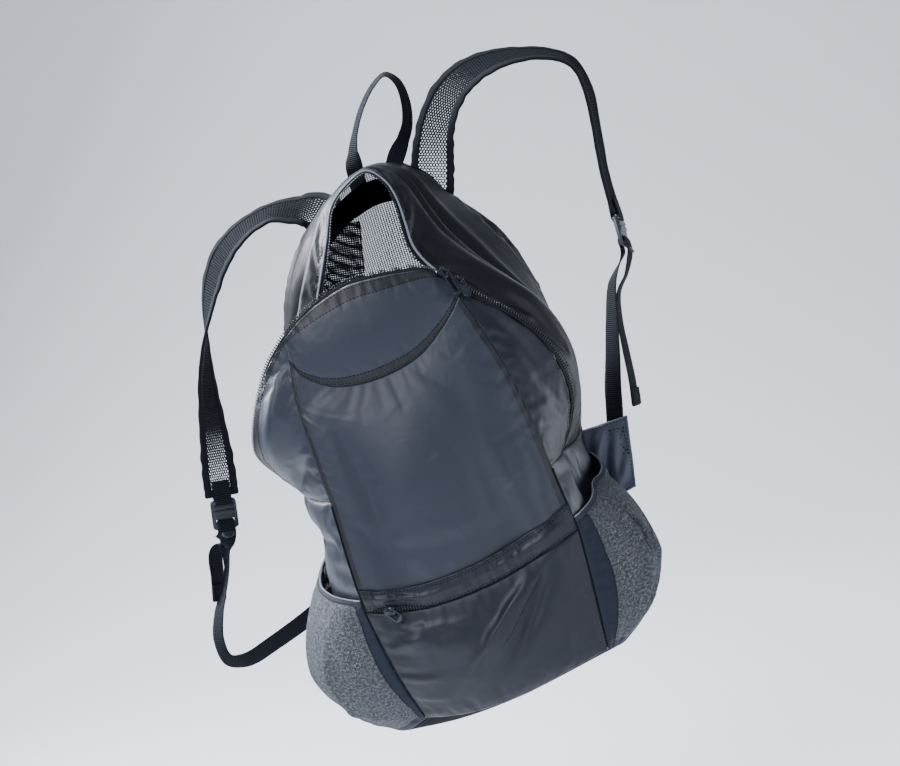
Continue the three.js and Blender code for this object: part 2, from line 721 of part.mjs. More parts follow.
// Body panels on shared edges
const edges = {
  frontLeftLow: spaced(frontLeftLow, lowCells),
  frontLeftUpper: spaced(frontLeftUpper, upperCells),
  frontRightLow: spaced(frontRightLow, lowCells),
  frontRightUpper: spaced(frontRightUpper, upperCells),
  backLeftLow: spaced(backLeftLow, lowCells),
  backLeftUpper: spaced(backLeftUpper, upperCells),
  backRightLow: spaced(backRightLow, lowCells),
  backRightUpper: spaced(backRightUpper, upperCells),
  backTop: spaced(backTop, acrossCells),
  yokeSeam: spaced(yokeSeam, acrossCells),
  flapEdgeLeft: spaced(flapEdgeLeft, upperCells),
  flapEdgeTop: spaced(flapEdgeTop, acrossCells),
  hoodEdge: spaced(hoodEdge, upperCells + acrossCells),
  closedZip: spaced(closedZip, upperCells),
  baseFront: spaced(baseFront, acrossCells),
  baseBack: spaced(baseBack, acrossCells),
  baseLeft: spaced(baseLeft, flapCells + rearCells),
  baseRight: spaced(baseRight, flapCells + rearCells),
};
// Short edges between the ends of the seams
const { zipEndLeft, zipEndRight, frontWaistLeft, frontWaistRight, backWaistLeft, backWaistRight } = corners;
edges.leftGussetFoot = spaced([zipEndLeft, footMiddles.leftGusset, frontWaistLeft], flapCells);
edges.leftRearFoot = spaced([backWaistLeft, footMiddles.leftRear, zipEndLeft], rearCells);
edges.rightGussetFoot = spaced([frontWaistRight, footMiddles.rightGusset, zipEndRight], flapCells);
edges.rightRearFoot = spaced([zipEndRight, footMiddles.rightRear, backWaistRight], rearCells);
edges.leftGussetHead = spaced([corners.flapCorner, corners.yokeLeft], flapCells);
edges.rightGussetHead = spaced([corners.yokeRight, corners.sliders], flapCells);

const panelGrids = {
  front_panel: coonsGrid(
    edges.baseFront,
    edges.yokeSeam,
    joined(edges.frontLeftLow, edges.frontLeftUpper),
    joined(edges.frontRightLow, edges.frontRightUpper),
  ),
  front_yoke: coonsGrid(
    edges.yokeSeam,
    edges.flapEdgeTop,
    reversed(edges.leftGussetHead),
    edges.rightGussetHead,
  ),
  left_gusset: coonsGrid(
    edges.leftGussetFoot,
    edges.leftGussetHead,
    edges.flapEdgeLeft,
    edges.frontLeftUpper,
  ),
  right_gusset: coonsGrid(
    edges.rightGussetFoot,
    edges.rightGussetHead,
    edges.frontRightUpper,
    edges.closedZip,
  ),
  hood: coonsGrid(
    joined(edges.hoodEdge, reversed(edges.closedZip)),
    joined(edges.backLeftUpper, edges.backTop, reversed(edges.backRightUpper)),
    reversed(edges.leftRearFoot),
    edges.rightRearFoot,
  ),
  left_side_panel: coonsGrid(
    edges.baseLeft,
    joined(edges.leftRearFoot, edges.leftGussetFoot),
    edges.backLeftLow,
    edges.frontLeftLow,
  ),
  right_side_panel: coonsGrid(
    reversed(edges.baseRight),
    joined(edges.rightGussetFoot, edges.rightRearFoot),
    edges.frontRightLow,
    edges.backRightLow,
  ),
  back_panel: coonsGrid(
    reversed(edges.baseBack),
    reversed(edges.backTop),
    joined(edges.backRightLow, edges.backRightUpper),
    joined(edges.backLeftLow, edges.backLeftUpper),
  ),
  bottom_panel: coonsGrid(
    edges.baseBack,
    edges.baseFront,
    edges.baseLeft,
    edges.baseRight,
  ),
};
const bulges = { front_panel: frontBulge, bottom_panel: bottomSag };
const panelNames = Object.keys(panelGrids);
const shapedGrids = panelNames.map((name) => raised(panelGrids[name], (u, v) => {
  const bulge = (bulges[name] ?? 0) * Math.sin(Math.PI * u) * Math.sin(Math.PI * v);
  return bulge + foldHeight(folds[name], u, v);
}));
const panelNormals = sharedNormals(shapedGrids);
const panels = {};
panelNames.forEach((name, index) => {
  const grid = shapedGrids[index];
  panels[name] = { grid, normals: panelNormals[index], facing: gridNormals(grid) };
  const material = name === 'back_panel' ? materials.backNet : materials.nylon;
  const inset = insetGrid(grid, seamGap / 2);
  addMesh(name, wallGeometry(inset, panelNormals[index], clothThickness), material);
});

// Layers on the front panel: pocket, its zip and the band over the zip
const layerLift = (clothThickness + zipThickness) / 2 + overlayGap;
const lineAt = (line) => (u) => THREE.MathUtils.lerp(line.left, line.right, u);
const frontHeight = edges.frontLeftLow[0].distanceTo(edges.frontLeftUpper.at(-1));
const zipShare = pocketZipWidth / frontHeight;
const gapShare = seamGap / frontHeight;
const pocketRange = { ...pocketSides, bottom: () => panelFoot, top: lineAt(pocketTop) };
const pocketGrid = overlayGrid(panels.front_panel, acrossCells, lowCells, pocketRange, (u, v) => {
  const height = Math.min(1, THREE.MathUtils.lerp(pocketFull.foot, 1, v));
  const swell = Math.sin(Math.PI * u) * Math.max(0, Math.sin(Math.PI * height)) ** pocketFull.squareness;
  return layerLift + pocketBulge * swell + Math.max(0, foldHeight(pocketFolds, u, v));
});

function addLayer(name, grid, thickness, material) {
  addMesh(name, wallGeometry(grid, gridNormals(grid), thickness), material);
}
addLayer('front_pocket', pocketGrid, clothThickness, materials.nylon);
const zipRange = {
  ...pocketZipSides,
  bottom: (u) => lineAt(pocketTop)(u) + gapShare,
  top: (u) => lineAt(pocketTop)(u) + gapShare + zipShare,
};
const pocketZipGrid = overlayGrid(panels.front_panel, acrossCells, 1, zipRange, () => layerLift);
addLayer('front_pocket_zip', pocketZipGrid, zipThickness, materials.zip);
const bandRange = {
  ...pocketSides,
  bottom: (u) => zipRange.top(u) + gapShare,
  top: lineAt(pocketBand),
};
const bandGrid = overlayGrid(panels.front_panel, acrossCells, 2, bandRange, () => layerLift);
addLayer('front_pocket_band', bandGrid, clothThickness, materials.nylon);

// Net side pockets, open at the lip, each with a bound edge
function addSidePocket(side, panel, lip, bulge, uFront) {
  const lipAt = (u) => THREE.MathUtils.lerp(lip.back, lip.front, uFront === 1 ? u : 1 - u);
  const range = { ...sidePocketSides, bottom: () => panelFoot, top: lipAt };
  const { fullRate, drawStart, drawCurve, roundness } = sidePocketSwell;
  const lift = (clothThickness + netThickness) / 2 + seamGap;
  const grid = overlayGrid(panel, flapCells + rearCells, lowCells, range, (u, v) => {
    const round = Math.sin(Math.PI * u) ** roundness;
    const drawn = lip.drawIn * Math.max(0, (v - drawStart) / (1 - drawStart)) ** drawCurve;
    const rise = Math.sin(Math.PI * Math.min(0.5, fullRate * v)) - drawn;
    return lift + bulge * round * rise;
  });
  const pocket = { grid, normals: gridNormals(grid) };
  addMesh(`side_pocket_${side}`, wallGeometry(grid, pocket.normals, netThickness), materials.pocketNet);
  const binding = edgeStrip(panelEdge(pocket, 'top'), seamGap, seamGap + bindingWidth, 0, clothThickness);
  addMesh(`side_pocket_binding_${side}`, binding, materials.binding);
}
addSidePocket('left', panels.left_side_panel, sideLips.left, sidePocketBulgeLeft, 1);
addSidePocket('right', panels.right_side_panel, sideLips.right, sidePocketBulgeRight, 0);

// Strip over the seam of two panels, bent along it
function closedZipGeometry(nearSpots, farSpots) {
  const side = (spots) => spots.map((spot, index) => {
    const along = spots[Math.min(index + 1, spots.length - 1)].point.clone();
    along.sub(spots[Math.max(index - 1, 0)].point).normalize();
    const facing = spot.out.clone().cross(along).normalize();
    facing.multiplyScalar(Math.sign(facing.dot(spot.normal)));
    const point = spot.point.clone().addScaledVector(spot.out, -zipTapeWidth / 2);
    return { point: point.addScaledVector(facing, tapeSink), facing };
  });
  const near = side(nearSpots);
  const far = side(farSpots);
  const middle = nearSpots.map((spot, index) => {
    const spread = Math.max(leastSpread, spot.normal.dot(near[index].facing));
    const point = spot.point.clone().addScaledVector(spot.normal, tapeSink / spread);
    return { point, facing: spot.normal };
  });
  const lines = [near, middle, far];
  const grid = lines.map((line) => line.map((spot) => spot.point));
  const facings = lines.map((line) => line.map((spot) => spot.facing));
  return wallGeometry(grid, facings, zipThickness);
}

// Main zip: open halves sewn under the two edges of the mouth, closed part over the seam
const tapeSink = (clothThickness + zipThickness) / 2 + tapeGap;
const flapEdge = panelEdge(panels.left_gusset, 'left').concat(panelEdge(panels.front_yoke, 'top').slice(1));
const hoodMouth = panelEdge(panels.hood, 'bottom').slice(upperCells);
const tapeStart = zipTapeReach - zipTapeWidth;
const flapTape = edgeStrip(flapEdge.slice(1, -1), tapeStart, zipTapeReach, tapeSink, zipThickness);
addMesh('zip_half_front', flapTape, materials.zip);
const hoodTape = edgeStrip(hoodMouth.slice(1, -2), tapeStart, zipTapeReach, tapeSink, zipThickness);
addMesh('zip_half_hood', hoodTape, materials.zip);
const seamSpots = panelEdge(panels.right_gusset, 'right');
const hoodSeam = reversed(panelEdge(panels.hood, 'bottom').slice(0, upperCells + 1));
addMesh('zip_closed', closedZipGeometry(seamSpots.slice(1, -1), hoodSeam.slice(1, -1)), materials.zip);

// Straps of net with a bound strip on each edge
const strapEnds = {};
function addStrap(side, rows) {
  const frames = ribbonFrames(
    placedRows(rows, strapBindingThickness),
    strapStep,
    seatHeight('panel', strapBindingThickness),
  );
  const halfWidth = (share) => (strapWidth / 2) * THREE.MathUtils.lerp(1, strapTaper, share ** 2);
  const netHalf = (share) => halfWidth(share) - strapBindingWidth;
  const net = ribbonGeometry(frames, (share) => -netHalf(share), netHalf, strapThickness);
  addMesh(`strap_net_${side}`, net, materials.strapNet);
  const bound = { inner: -1, outer: 1 };
  for (const [edge, sign] of Object.entries(bound)) {
    const near = (share) => sign * (netHalf(share) + seamGap);
    const far = (share) => sign * halfWidth(share);
    const ordered = sign > 0 ? [near, far] : [far, near];
    const strip = ribbonGeometry(frames, ...ordered, strapBindingThickness);
    addMesh(`strap_binding_${side}_${edge}`, strip, materials.binding);
  }
  strapEnds[side] = frames.at(-1);
}
addStrap('right', strapRight);
addStrap('left', strapLeft);

function addWebbing(name, frames) {
  const half = webbingWidth / 2;
  addMesh(name, ribbonGeometry(frames, -half, half, webbingThickness), materials.webbing);
}

// Haul loop
const haulFrames = ribbonFrames(
  placedRows(haulLoop, webbingThickness),
  webbingStep,
  seatHeight('panel', webbingThickness),
);
addWebbing('haul_loop', haulFrames);

// Buckle frame: z up the strap, x across it, y out of the face that the tail hangs on
function buckleAxes(end, outwards) {
  const up = end.tangent.clone().negate();
  const face = end.normal.clone().multiplyScalar(Math.sign(end.normal.x) === outwards ? 1 : -1);
  const across = face.clone().cross(up);
  const centre = end.point.clone().addScaledVector(up, -(buckleToStrap + buckleLength / 2));
  return new THREE.Matrix4().makeBasis(across, face, up).setPosition(centre);
}

function windowPath(bottom, top) {
  const width = buckleWidth / 2 - buckleSide;
  const path = new THREE.Path();
  path.moveTo(-width, bottom);
  path.lineTo(-width, top);
  path.lineTo(width, top);
  path.lineTo(width, bottom);
  path.closePath();
  return path;
}

const windowHeight = (buckleLength - 4 * buckleBar) / 2;
const topBar = buckleLength / 2 - buckleBar / 2;
const lowerBar = topBar - 2 * (windowHeight + buckleBar);

function buckleGeometry() {
  const width = buckleWidth / 2;
  const length = buckleLength / 2;
  const corner = buckleSide;
  const shape = new THREE.Shape();
  shape.moveTo(-width + corner, -length);
  shape.quadraticCurveTo(0, -length - corner / 2, width - corner, -length);
  shape.quadraticCurveTo(width, -length, width, -length + corner);
  shape.lineTo(width, length - corner);
  shape.quadraticCurveTo(width, length, width - corner, length);
  shape.lineTo(-width + corner, length);
  shape.quadraticCurveTo(-width, length, -width, length - corner);
  shape.lineTo(-width, -length + corner);
  shape.quadraticCurveTo(-width, -length, -width + corner, -length);
  const upperTop = length - buckleBar;
  shape.holes.push(windowPath(upperTop - windowHeight, upperTop));
  shape.holes.push(windowPath(upperTop - 2 * windowHeight - buckleBar, upperTop - windowHeight - buckleBar));
  const options = { depth: buckleThickness, bevelEnabled: false, curveSegments: 3 };
  const geometry = new THREE.ExtrudeGeometry(shape, options);
  geometry.translate(0, 0, -buckleThickness / 2);
  geometry.rotateX(Math.PI / 2);
  return geometry;
}

// Rows of a ribbon bent round a bar of the buckle: side 1 goes over its top, side -1 under it
function aroundBar(axes, barHeight, side, legEnd, legReach) {
  const across = new THREE.Vector3().setFromMatrixColumn(axes, 0);
  const reach = Math.hypot(buckleBar, buckleThickness) / 2 + layerGap + webbingThickness / 2;
  const arc = [0, 45, 90, 135, 180].map(THREE.MathUtils.degToRad);
  const bend = arc.map((angle) => [-reach * Math.cos(angle), barHeight + side * reach * Math.sin(angle)]);
  const near = legReach ?? reach;
  const local = [[-near, legEnd], ...bend, [near, legEnd]];
  return local.map(([y, z]) => ({ point: new THREE.Vector3(0, y, z).applyMatrix4(axes), across }));
}

// Rows that turn a tail's end back on itself
function foldRows(tail, turn) {
  const end = tail.at(-1).point;
  const down = end.clone().sub(tail.at(-2).point).normalize();
  const across = acrossFor(down, turn);
  const face = across.clone().cross(down);
  const step = webbingThickness + layerGap;
  const bend = tailBend.concat({ down: -tailFold / step, out: 1 });
  return bend.map((shift) => {
    const point = end.clone().addScaledVector(down, shift.down * step);
    return { point: point.addScaledVector(face, shift.out * step), across };
  });
}

// Buckle, the loop that holds it to the strap and the webbing that runs from wing to tail
function addBuckle(side, outwards, webbingRows, tailRows) {
  const axes = buckleAxes(strapEnds[side], outwards);
  const buckle = addMesh(`buckle_${side}`, buckleGeometry(), materials.plastic);
  axes.decompose(buckle.position, buckle.quaternion, buckle.scale);
  const strapFoot = buckleLength / 2 + buckleToStrap;
  const loopReach = (strapThickness + webbingThickness) / 2 + seamGap;
  const loopRows = aroundBar(axes, topBar, -1, strapFoot + loopLeg, loopReach);
  const loopFrames = ribbonFrames(loopRows, webbingStep);
  addWebbing(`buckle_loop_${side}`, loopFrames);

  const turnRows = aroundBar(axes, lowerBar, 1, -buckleLength / 2 - webbingLead);
  const tail = placedRows(tailRows, webbingThickness);
  const fold = foldRows(tail, tailRows.at(-1).turn);
  const rows = [...placedRows(webbingRows, webbingThickness), ...turnRows, ...tail, ...fold];
  const frames = ribbonFrames(rows, webbingStep, seatHeight('wing', webbingThickness));
  addWebbing(`webbing_${side}`, frames);
}
addBuckle('right', 1, webbingRight, tailRight);
addBuckle('left', -1, webbingLeft, tailLeft);

// Wing tabs that carry the webbing, flat on the back panel's face
function addWing(side, tabCorners) {
  const outline = tabCorners.map((row) => new THREE.Vector2(row.x * bagWidth / 2, row.z * bagHeight));
  const shape = new THREE.Shape(outline);
  const geometry = new THREE.ExtrudeGeometry(shape, { depth: clothThickness, bevelEnabled: false });
  geometry.rotateX(Math.PI / 2);
  const mesh = addMesh(`wing_tab_${side}`, geometry, materials.nylon);
  mesh.position.y = 1.5 * clothThickness + layerGap;
}
addWing('right', wingRight);
addWing('left', wingLeft);

// Band inside the back panel that the straps are sewn to
const bandSink = clothThickness + layerGap;
const anchorRange = {
  uStart: anchorBand.uStart,
  uEnd: anchorBand.uEnd,
  bottom: () => anchorBand.bottom,
  top: () => anchorBand.top,
};
const anchorGrid = overlayGrid(panels.back_panel, acrossCells, 2, anchorRange, () => -bandSink);
addLayer('strap_anchor_band', anchorGrid, clothThickness, materials.webbing);

// Zip slider: a body that rides on the zip and a bridge over the eye for its pull
const wasm = await Module();
wasm.setup();

function toSolid(geometry) {
  const bare = geometry.clone();
  bare.deleteAttribute('normal');
  bare.deleteAttribute('uv');
  const merged = mergeVertices(bare);
  const vertProperties = new Float32Array(merged.attributes.position.array);
  const triVerts = new Uint32Array(merged.index.array);
  return new wasm.Manifold(new wasm.Mesh({ numProp: 3, vertProperties, triVerts }));
}

function fromSolid(solid) {
  const mesh = solid.getMesh();
  const geometry = new THREE.BufferGeometry();
  geometry.setAttribute('position', new THREE.Float32BufferAttribute(mesh.vertProperties, 3));
  geometry.setIndex(Array.from(mesh.triVerts));
  return geometry;
}

function archShape(width, height, wall) {
  const shape = new THREE.Shape();
  shape.moveTo(-width / 2, 0);
  shape.lineTo(-width / 2 + wall, 0);
  shape.lineTo(-width / 2 + wall, height - wall);
  shape.lineTo(width / 2 - wall, height - wall);
  shape.lineTo(width / 2 - wall, 0);
  shape.lineTo(width / 2, 0);
  shape.lineTo(width / 2, height - wall / 2);
  shape.lineTo(width / 2 - wall / 2, height);
  shape.lineTo(-width / 2 + wall / 2, height);
  shape.lineTo(-width / 2, height - wall / 2);
  shape.closePath();
  return shape;
}

function sliderGeometry() {
  const body = new THREE.BoxGeometry(sliderLength, sliderWidth, sliderThickness);
  body.translate(0, 0, sliderThickness / 2);
  const seat = bridgeWall / 2;
  const arch = archShape(bridgeLength, bridgeHeight + seat, bridgeWall);
  const bridge = new THREE.ExtrudeGeometry(arch, { depth: bridgeWidth, bevelEnabled: false });
  bridge.translate(0, 0, -bridgeWidth / 2);
  bridge.rotateX(Math.PI / 2);
  bridge.translate(0, 0, sliderThickness - seat);
  return fromSolid(toSolid(body).add(toSolid(bridge)));
}

// Pull: a bar on the hinge, and a plate from it along X with a hole of a given length
function pullGeometry(length, holeLength) {
  const half = pullWidth / 2;
  const bar = pullWall / 2;
  const shape = new THREE.Shape();
  shape.moveTo(-bar, -half);
  shape.lineTo(length - half, -half);
  shape.absarc(length - half, 0, half, -Math.PI / 2, Math.PI / 2, false);
  shape.lineTo(-bar, half);
  shape.closePath();
  const inner = half - pullWall;
  const hole = new THREE.Path();
  hole.moveTo(bar, -inner);
  hole.lineTo(bar, inner);
  hole.lineTo(bar + holeLength, inner);
  hole.lineTo(bar + holeLength, -inner);
  hole.closePath();
  shape.holes.push(hole);
  const options = { depth: pullThickness, bevelEnabled: false, curveSegments: 6 };
  const geometry = new THREE.ExtrudeGeometry(shape, options);
  geometry.translate(0, 0, -pullThickness / 2);
  return geometry;
}

// Slider and pull at a spot of the zip: along is the zip's direction, turn swings the pull sideways
function addSlider(name, spot, lift, turn, pullLength, holeLength) {
  const up = spot.normal.clone().normalize();
  const along = spot.along.clone().addScaledVector(up, -spot.along.dot(up)).normalize();
  const axes = new THREE.Matrix4().makeBasis(along, up.clone().cross(along), up);
  axes.setPosition(spot.point.clone().addScaledVector(up, lift));
  const slider = addMesh(`${name}_slider`, sliderGeometry(), materials.sliderMetal);
  axes.decompose(slider.position, slider.quaternion, slider.scale);
  const pull = addMesh(`${name}_pull`, pullGeometry(pullLength, holeLength), materials.sliderMetal);
  const eye = sliderThickness + (bridgeHeight - bridgeWall) / 2;
  const pivot = new THREE.Matrix4().makeRotationZ(THREE.MathUtils.degToRad(turn));
  pivot.setPosition(0, 0, eye);
  axes.multiply(pivot).decompose(pull.position, pull.quaternion, pull.scale);
}

// The two sliders of the main zip stand one behind the other at the end of the open part
function seamSpot(distance) {
  const [start, next] = seamSpots;
  const share = distance / start.point.distanceTo(next.point);
  return {
    point: start.point.clone().lerp(next.point, share),
    normal: start.normal.clone().lerp(next.normal, share),
    along: next.point.clone().sub(start.point),
  };
}
const sliderLift = clothThickness / 2 + sliderClearance;
const clearEye = mainPullLength - 3 * pullWall;
addSlider('main_zip', seamSpot(0), sliderLift, -mainPullTurn, mainPullLength, clearEye);
const secondPlace = sliderLength + sliderSpacing;
addSlider('second_zip', seamSpot(secondPlace), sliderLift, -mainPullTurn, secondPullLength, secondPullEye);
const zipSpot = (u) => onPanel(panels.front_panel, u, (zipRange.bottom(u) + zipRange.top(u)) / 2);
const pocketSpot = zipSpot(pocketSliderPlace);
pocketSpot.along = zipSpot(pocketSliderPlace + pocketSliderReach).point.sub(pocketSpot.point);
const pocketLift = layerLift + zipThickness / 2 + sliderClearance;
const ringEye = pocketPullLength - 3 * pullWall;
addSlider('front_pocket', pocketSpot, pocketLift, -pocketPullTurn, pocketPullLength, ringEye);

// The origin is where the loop hangs: the underside of its highest point
const apex = haulFrames.reduce((best, frame) => (frame.point.z > best.point.z ? frame : best));
const underside = apex.normal.clone().multiplyScalar(-Math.sign(apex.normal.z) * webbingThickness / 2);
backpack.position.copy(apex.point).add(underside).negate();

export default backpack;
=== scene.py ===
# Packable backpack of thin ripstop nylon, hanging from its haul loop with the main zip half open
import bmesh
import bpy
import math
import numpy as np
from mathutils import Matrix, Vector


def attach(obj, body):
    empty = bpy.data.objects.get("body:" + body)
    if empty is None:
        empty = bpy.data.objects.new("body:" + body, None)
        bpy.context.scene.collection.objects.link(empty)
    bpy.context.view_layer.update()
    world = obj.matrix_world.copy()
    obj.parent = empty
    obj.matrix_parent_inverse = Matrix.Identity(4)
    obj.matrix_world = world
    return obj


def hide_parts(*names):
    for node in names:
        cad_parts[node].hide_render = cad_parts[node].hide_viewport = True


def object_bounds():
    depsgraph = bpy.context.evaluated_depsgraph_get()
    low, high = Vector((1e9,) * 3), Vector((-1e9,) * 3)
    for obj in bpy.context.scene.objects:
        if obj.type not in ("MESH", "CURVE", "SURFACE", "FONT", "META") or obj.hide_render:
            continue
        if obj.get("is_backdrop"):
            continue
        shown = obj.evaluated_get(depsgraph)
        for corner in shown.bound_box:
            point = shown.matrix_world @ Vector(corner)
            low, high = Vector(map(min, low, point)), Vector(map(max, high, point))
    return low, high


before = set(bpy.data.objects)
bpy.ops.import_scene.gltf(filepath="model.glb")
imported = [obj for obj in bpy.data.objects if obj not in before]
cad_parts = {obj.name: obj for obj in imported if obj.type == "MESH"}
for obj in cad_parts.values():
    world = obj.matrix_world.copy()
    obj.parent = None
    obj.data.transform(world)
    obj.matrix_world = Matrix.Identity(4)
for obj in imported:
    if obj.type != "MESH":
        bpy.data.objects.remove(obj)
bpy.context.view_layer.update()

# Shares in the tables follow these sizes in mm: x is a share of half the width, depth one of the depth
# in front of the back panel and z one of the height
bag = {
    "width": 236,
    "depth": 142,
    "height": 452,
    "hangPoint": (35.749, 6.169, 525.47),  # underside of the haul loop, from the foot of the back panel
}


def toFrame(points):
    # mm from the foot of the back panel to metres from the hang point
    return (np.asarray(points, float) - bag["hangPoint"]) / 1000


def place(rows):
    return np.asarray(rows, float) * (bag["width"] / 2, -bag["depth"], bag["height"])


def unit(vectors):
    vectors = np.asarray(vectors, float)
    return vectors / np.maximum(np.linalg.norm(vectors, axis=-1, keepdims=True), 1e-9)


# Smooth curve through points, read at shares 0 to 1 of its number of points
def curveAt(points, shares):
    points = np.asarray(points, float)
    last = len(points) - 1
    padded = np.vstack([2 * points[0] - points[1], points, 2 * points[-1] - points[-2]])
    position = np.clip(np.asarray(shares, float), 0, 1) * last
    index = np.minimum(position.astype(int), last - 1)
    weight = (position - index)[:, None]
    before, start, end, after = (padded[index + step] for step in range(4))
    gaps = [np.maximum(np.sum((b - a) ** 2, axis=1) ** 0.25, 1e-4)[:, None]
            for a, b in ((before, start), (start, end), (end, after))]
    startPull = (start - before) / gaps[0] - (end - before) / (gaps[0] + gaps[1]) + (end - start) / gaps[1]
    endPull = (end - start) / gaps[1] - (after - start) / (gaps[1] + gaps[2]) + (after - end) / gaps[2]
    startPull, endPull = startPull * gaps[1], endPull * gaps[1]
    square = -3 * start + 3 * end - 2 * startPull - endPull
    cube = 2 * start - 2 * end + startPull + endPull
    return start + startPull * weight + square * weight ** 2 + cube * weight ** 3


# Points at even distances along a line of points
def evenly(points, count):
    points = np.asarray(points, float)
    steps = np.concatenate([[0], np.cumsum(np.linalg.norm(np.diff(points, axis=0), axis=1))])
    wanted = np.linspace(0, steps[-1], count + 1)
    return np.stack([np.interp(wanted, steps, points[:, k]) for k in range(3)], axis=1)


def addObject(name, data):
    made = bpy.data.objects.new(name, data)
    bpy.context.scene.collection.objects.link(made)
    return made


# Seams

corners = {
    "frontFootLeft": (-0.644, 0.887, 0.031),
    "frontFootRight": (0.678, 0.915, 0.062),
    "frontWaistLeft": (-0.822, 0.986, 0.46),
    "frontWaistRight": (0.678, 0.979, 0.414),
    "yokeLeft": (-0.814, 0.923, 0.719),
    "yokeRight": (0.415, 0.894, 0.746),
    "backFootLeft": (-0.763, 0.056, 0.013),
    "backFootRight": (0.729, 0.056, 0.04),
    "backWaistLeft": (-1, 0, 0.46),
    "backWaistRight": (0.932, 0, 0.414),
    "shoulderLeft": (-0.915, 0, 0.763),
    "shoulderRight": (0.86, 0, 0.776),
    "zipEndLeft": (-1.07, 0.465, 0.469),
    "zipEndRight": (0.763, 0.493, 0.412),
    "flapCorner": (-0.822, 0.901, 0.757),
    "sliders": (0.339, 0.859, 0.788),
}
cells = {"across": 56, "low": 28, "upper": 36, "flap": 16, "rear": 32}


def seam(start, middle, end, count):
    points = place([corners[start], *middle, corners[end]])
    return evenly(curveAt(points, np.linspace(0, 1, 400)), count)


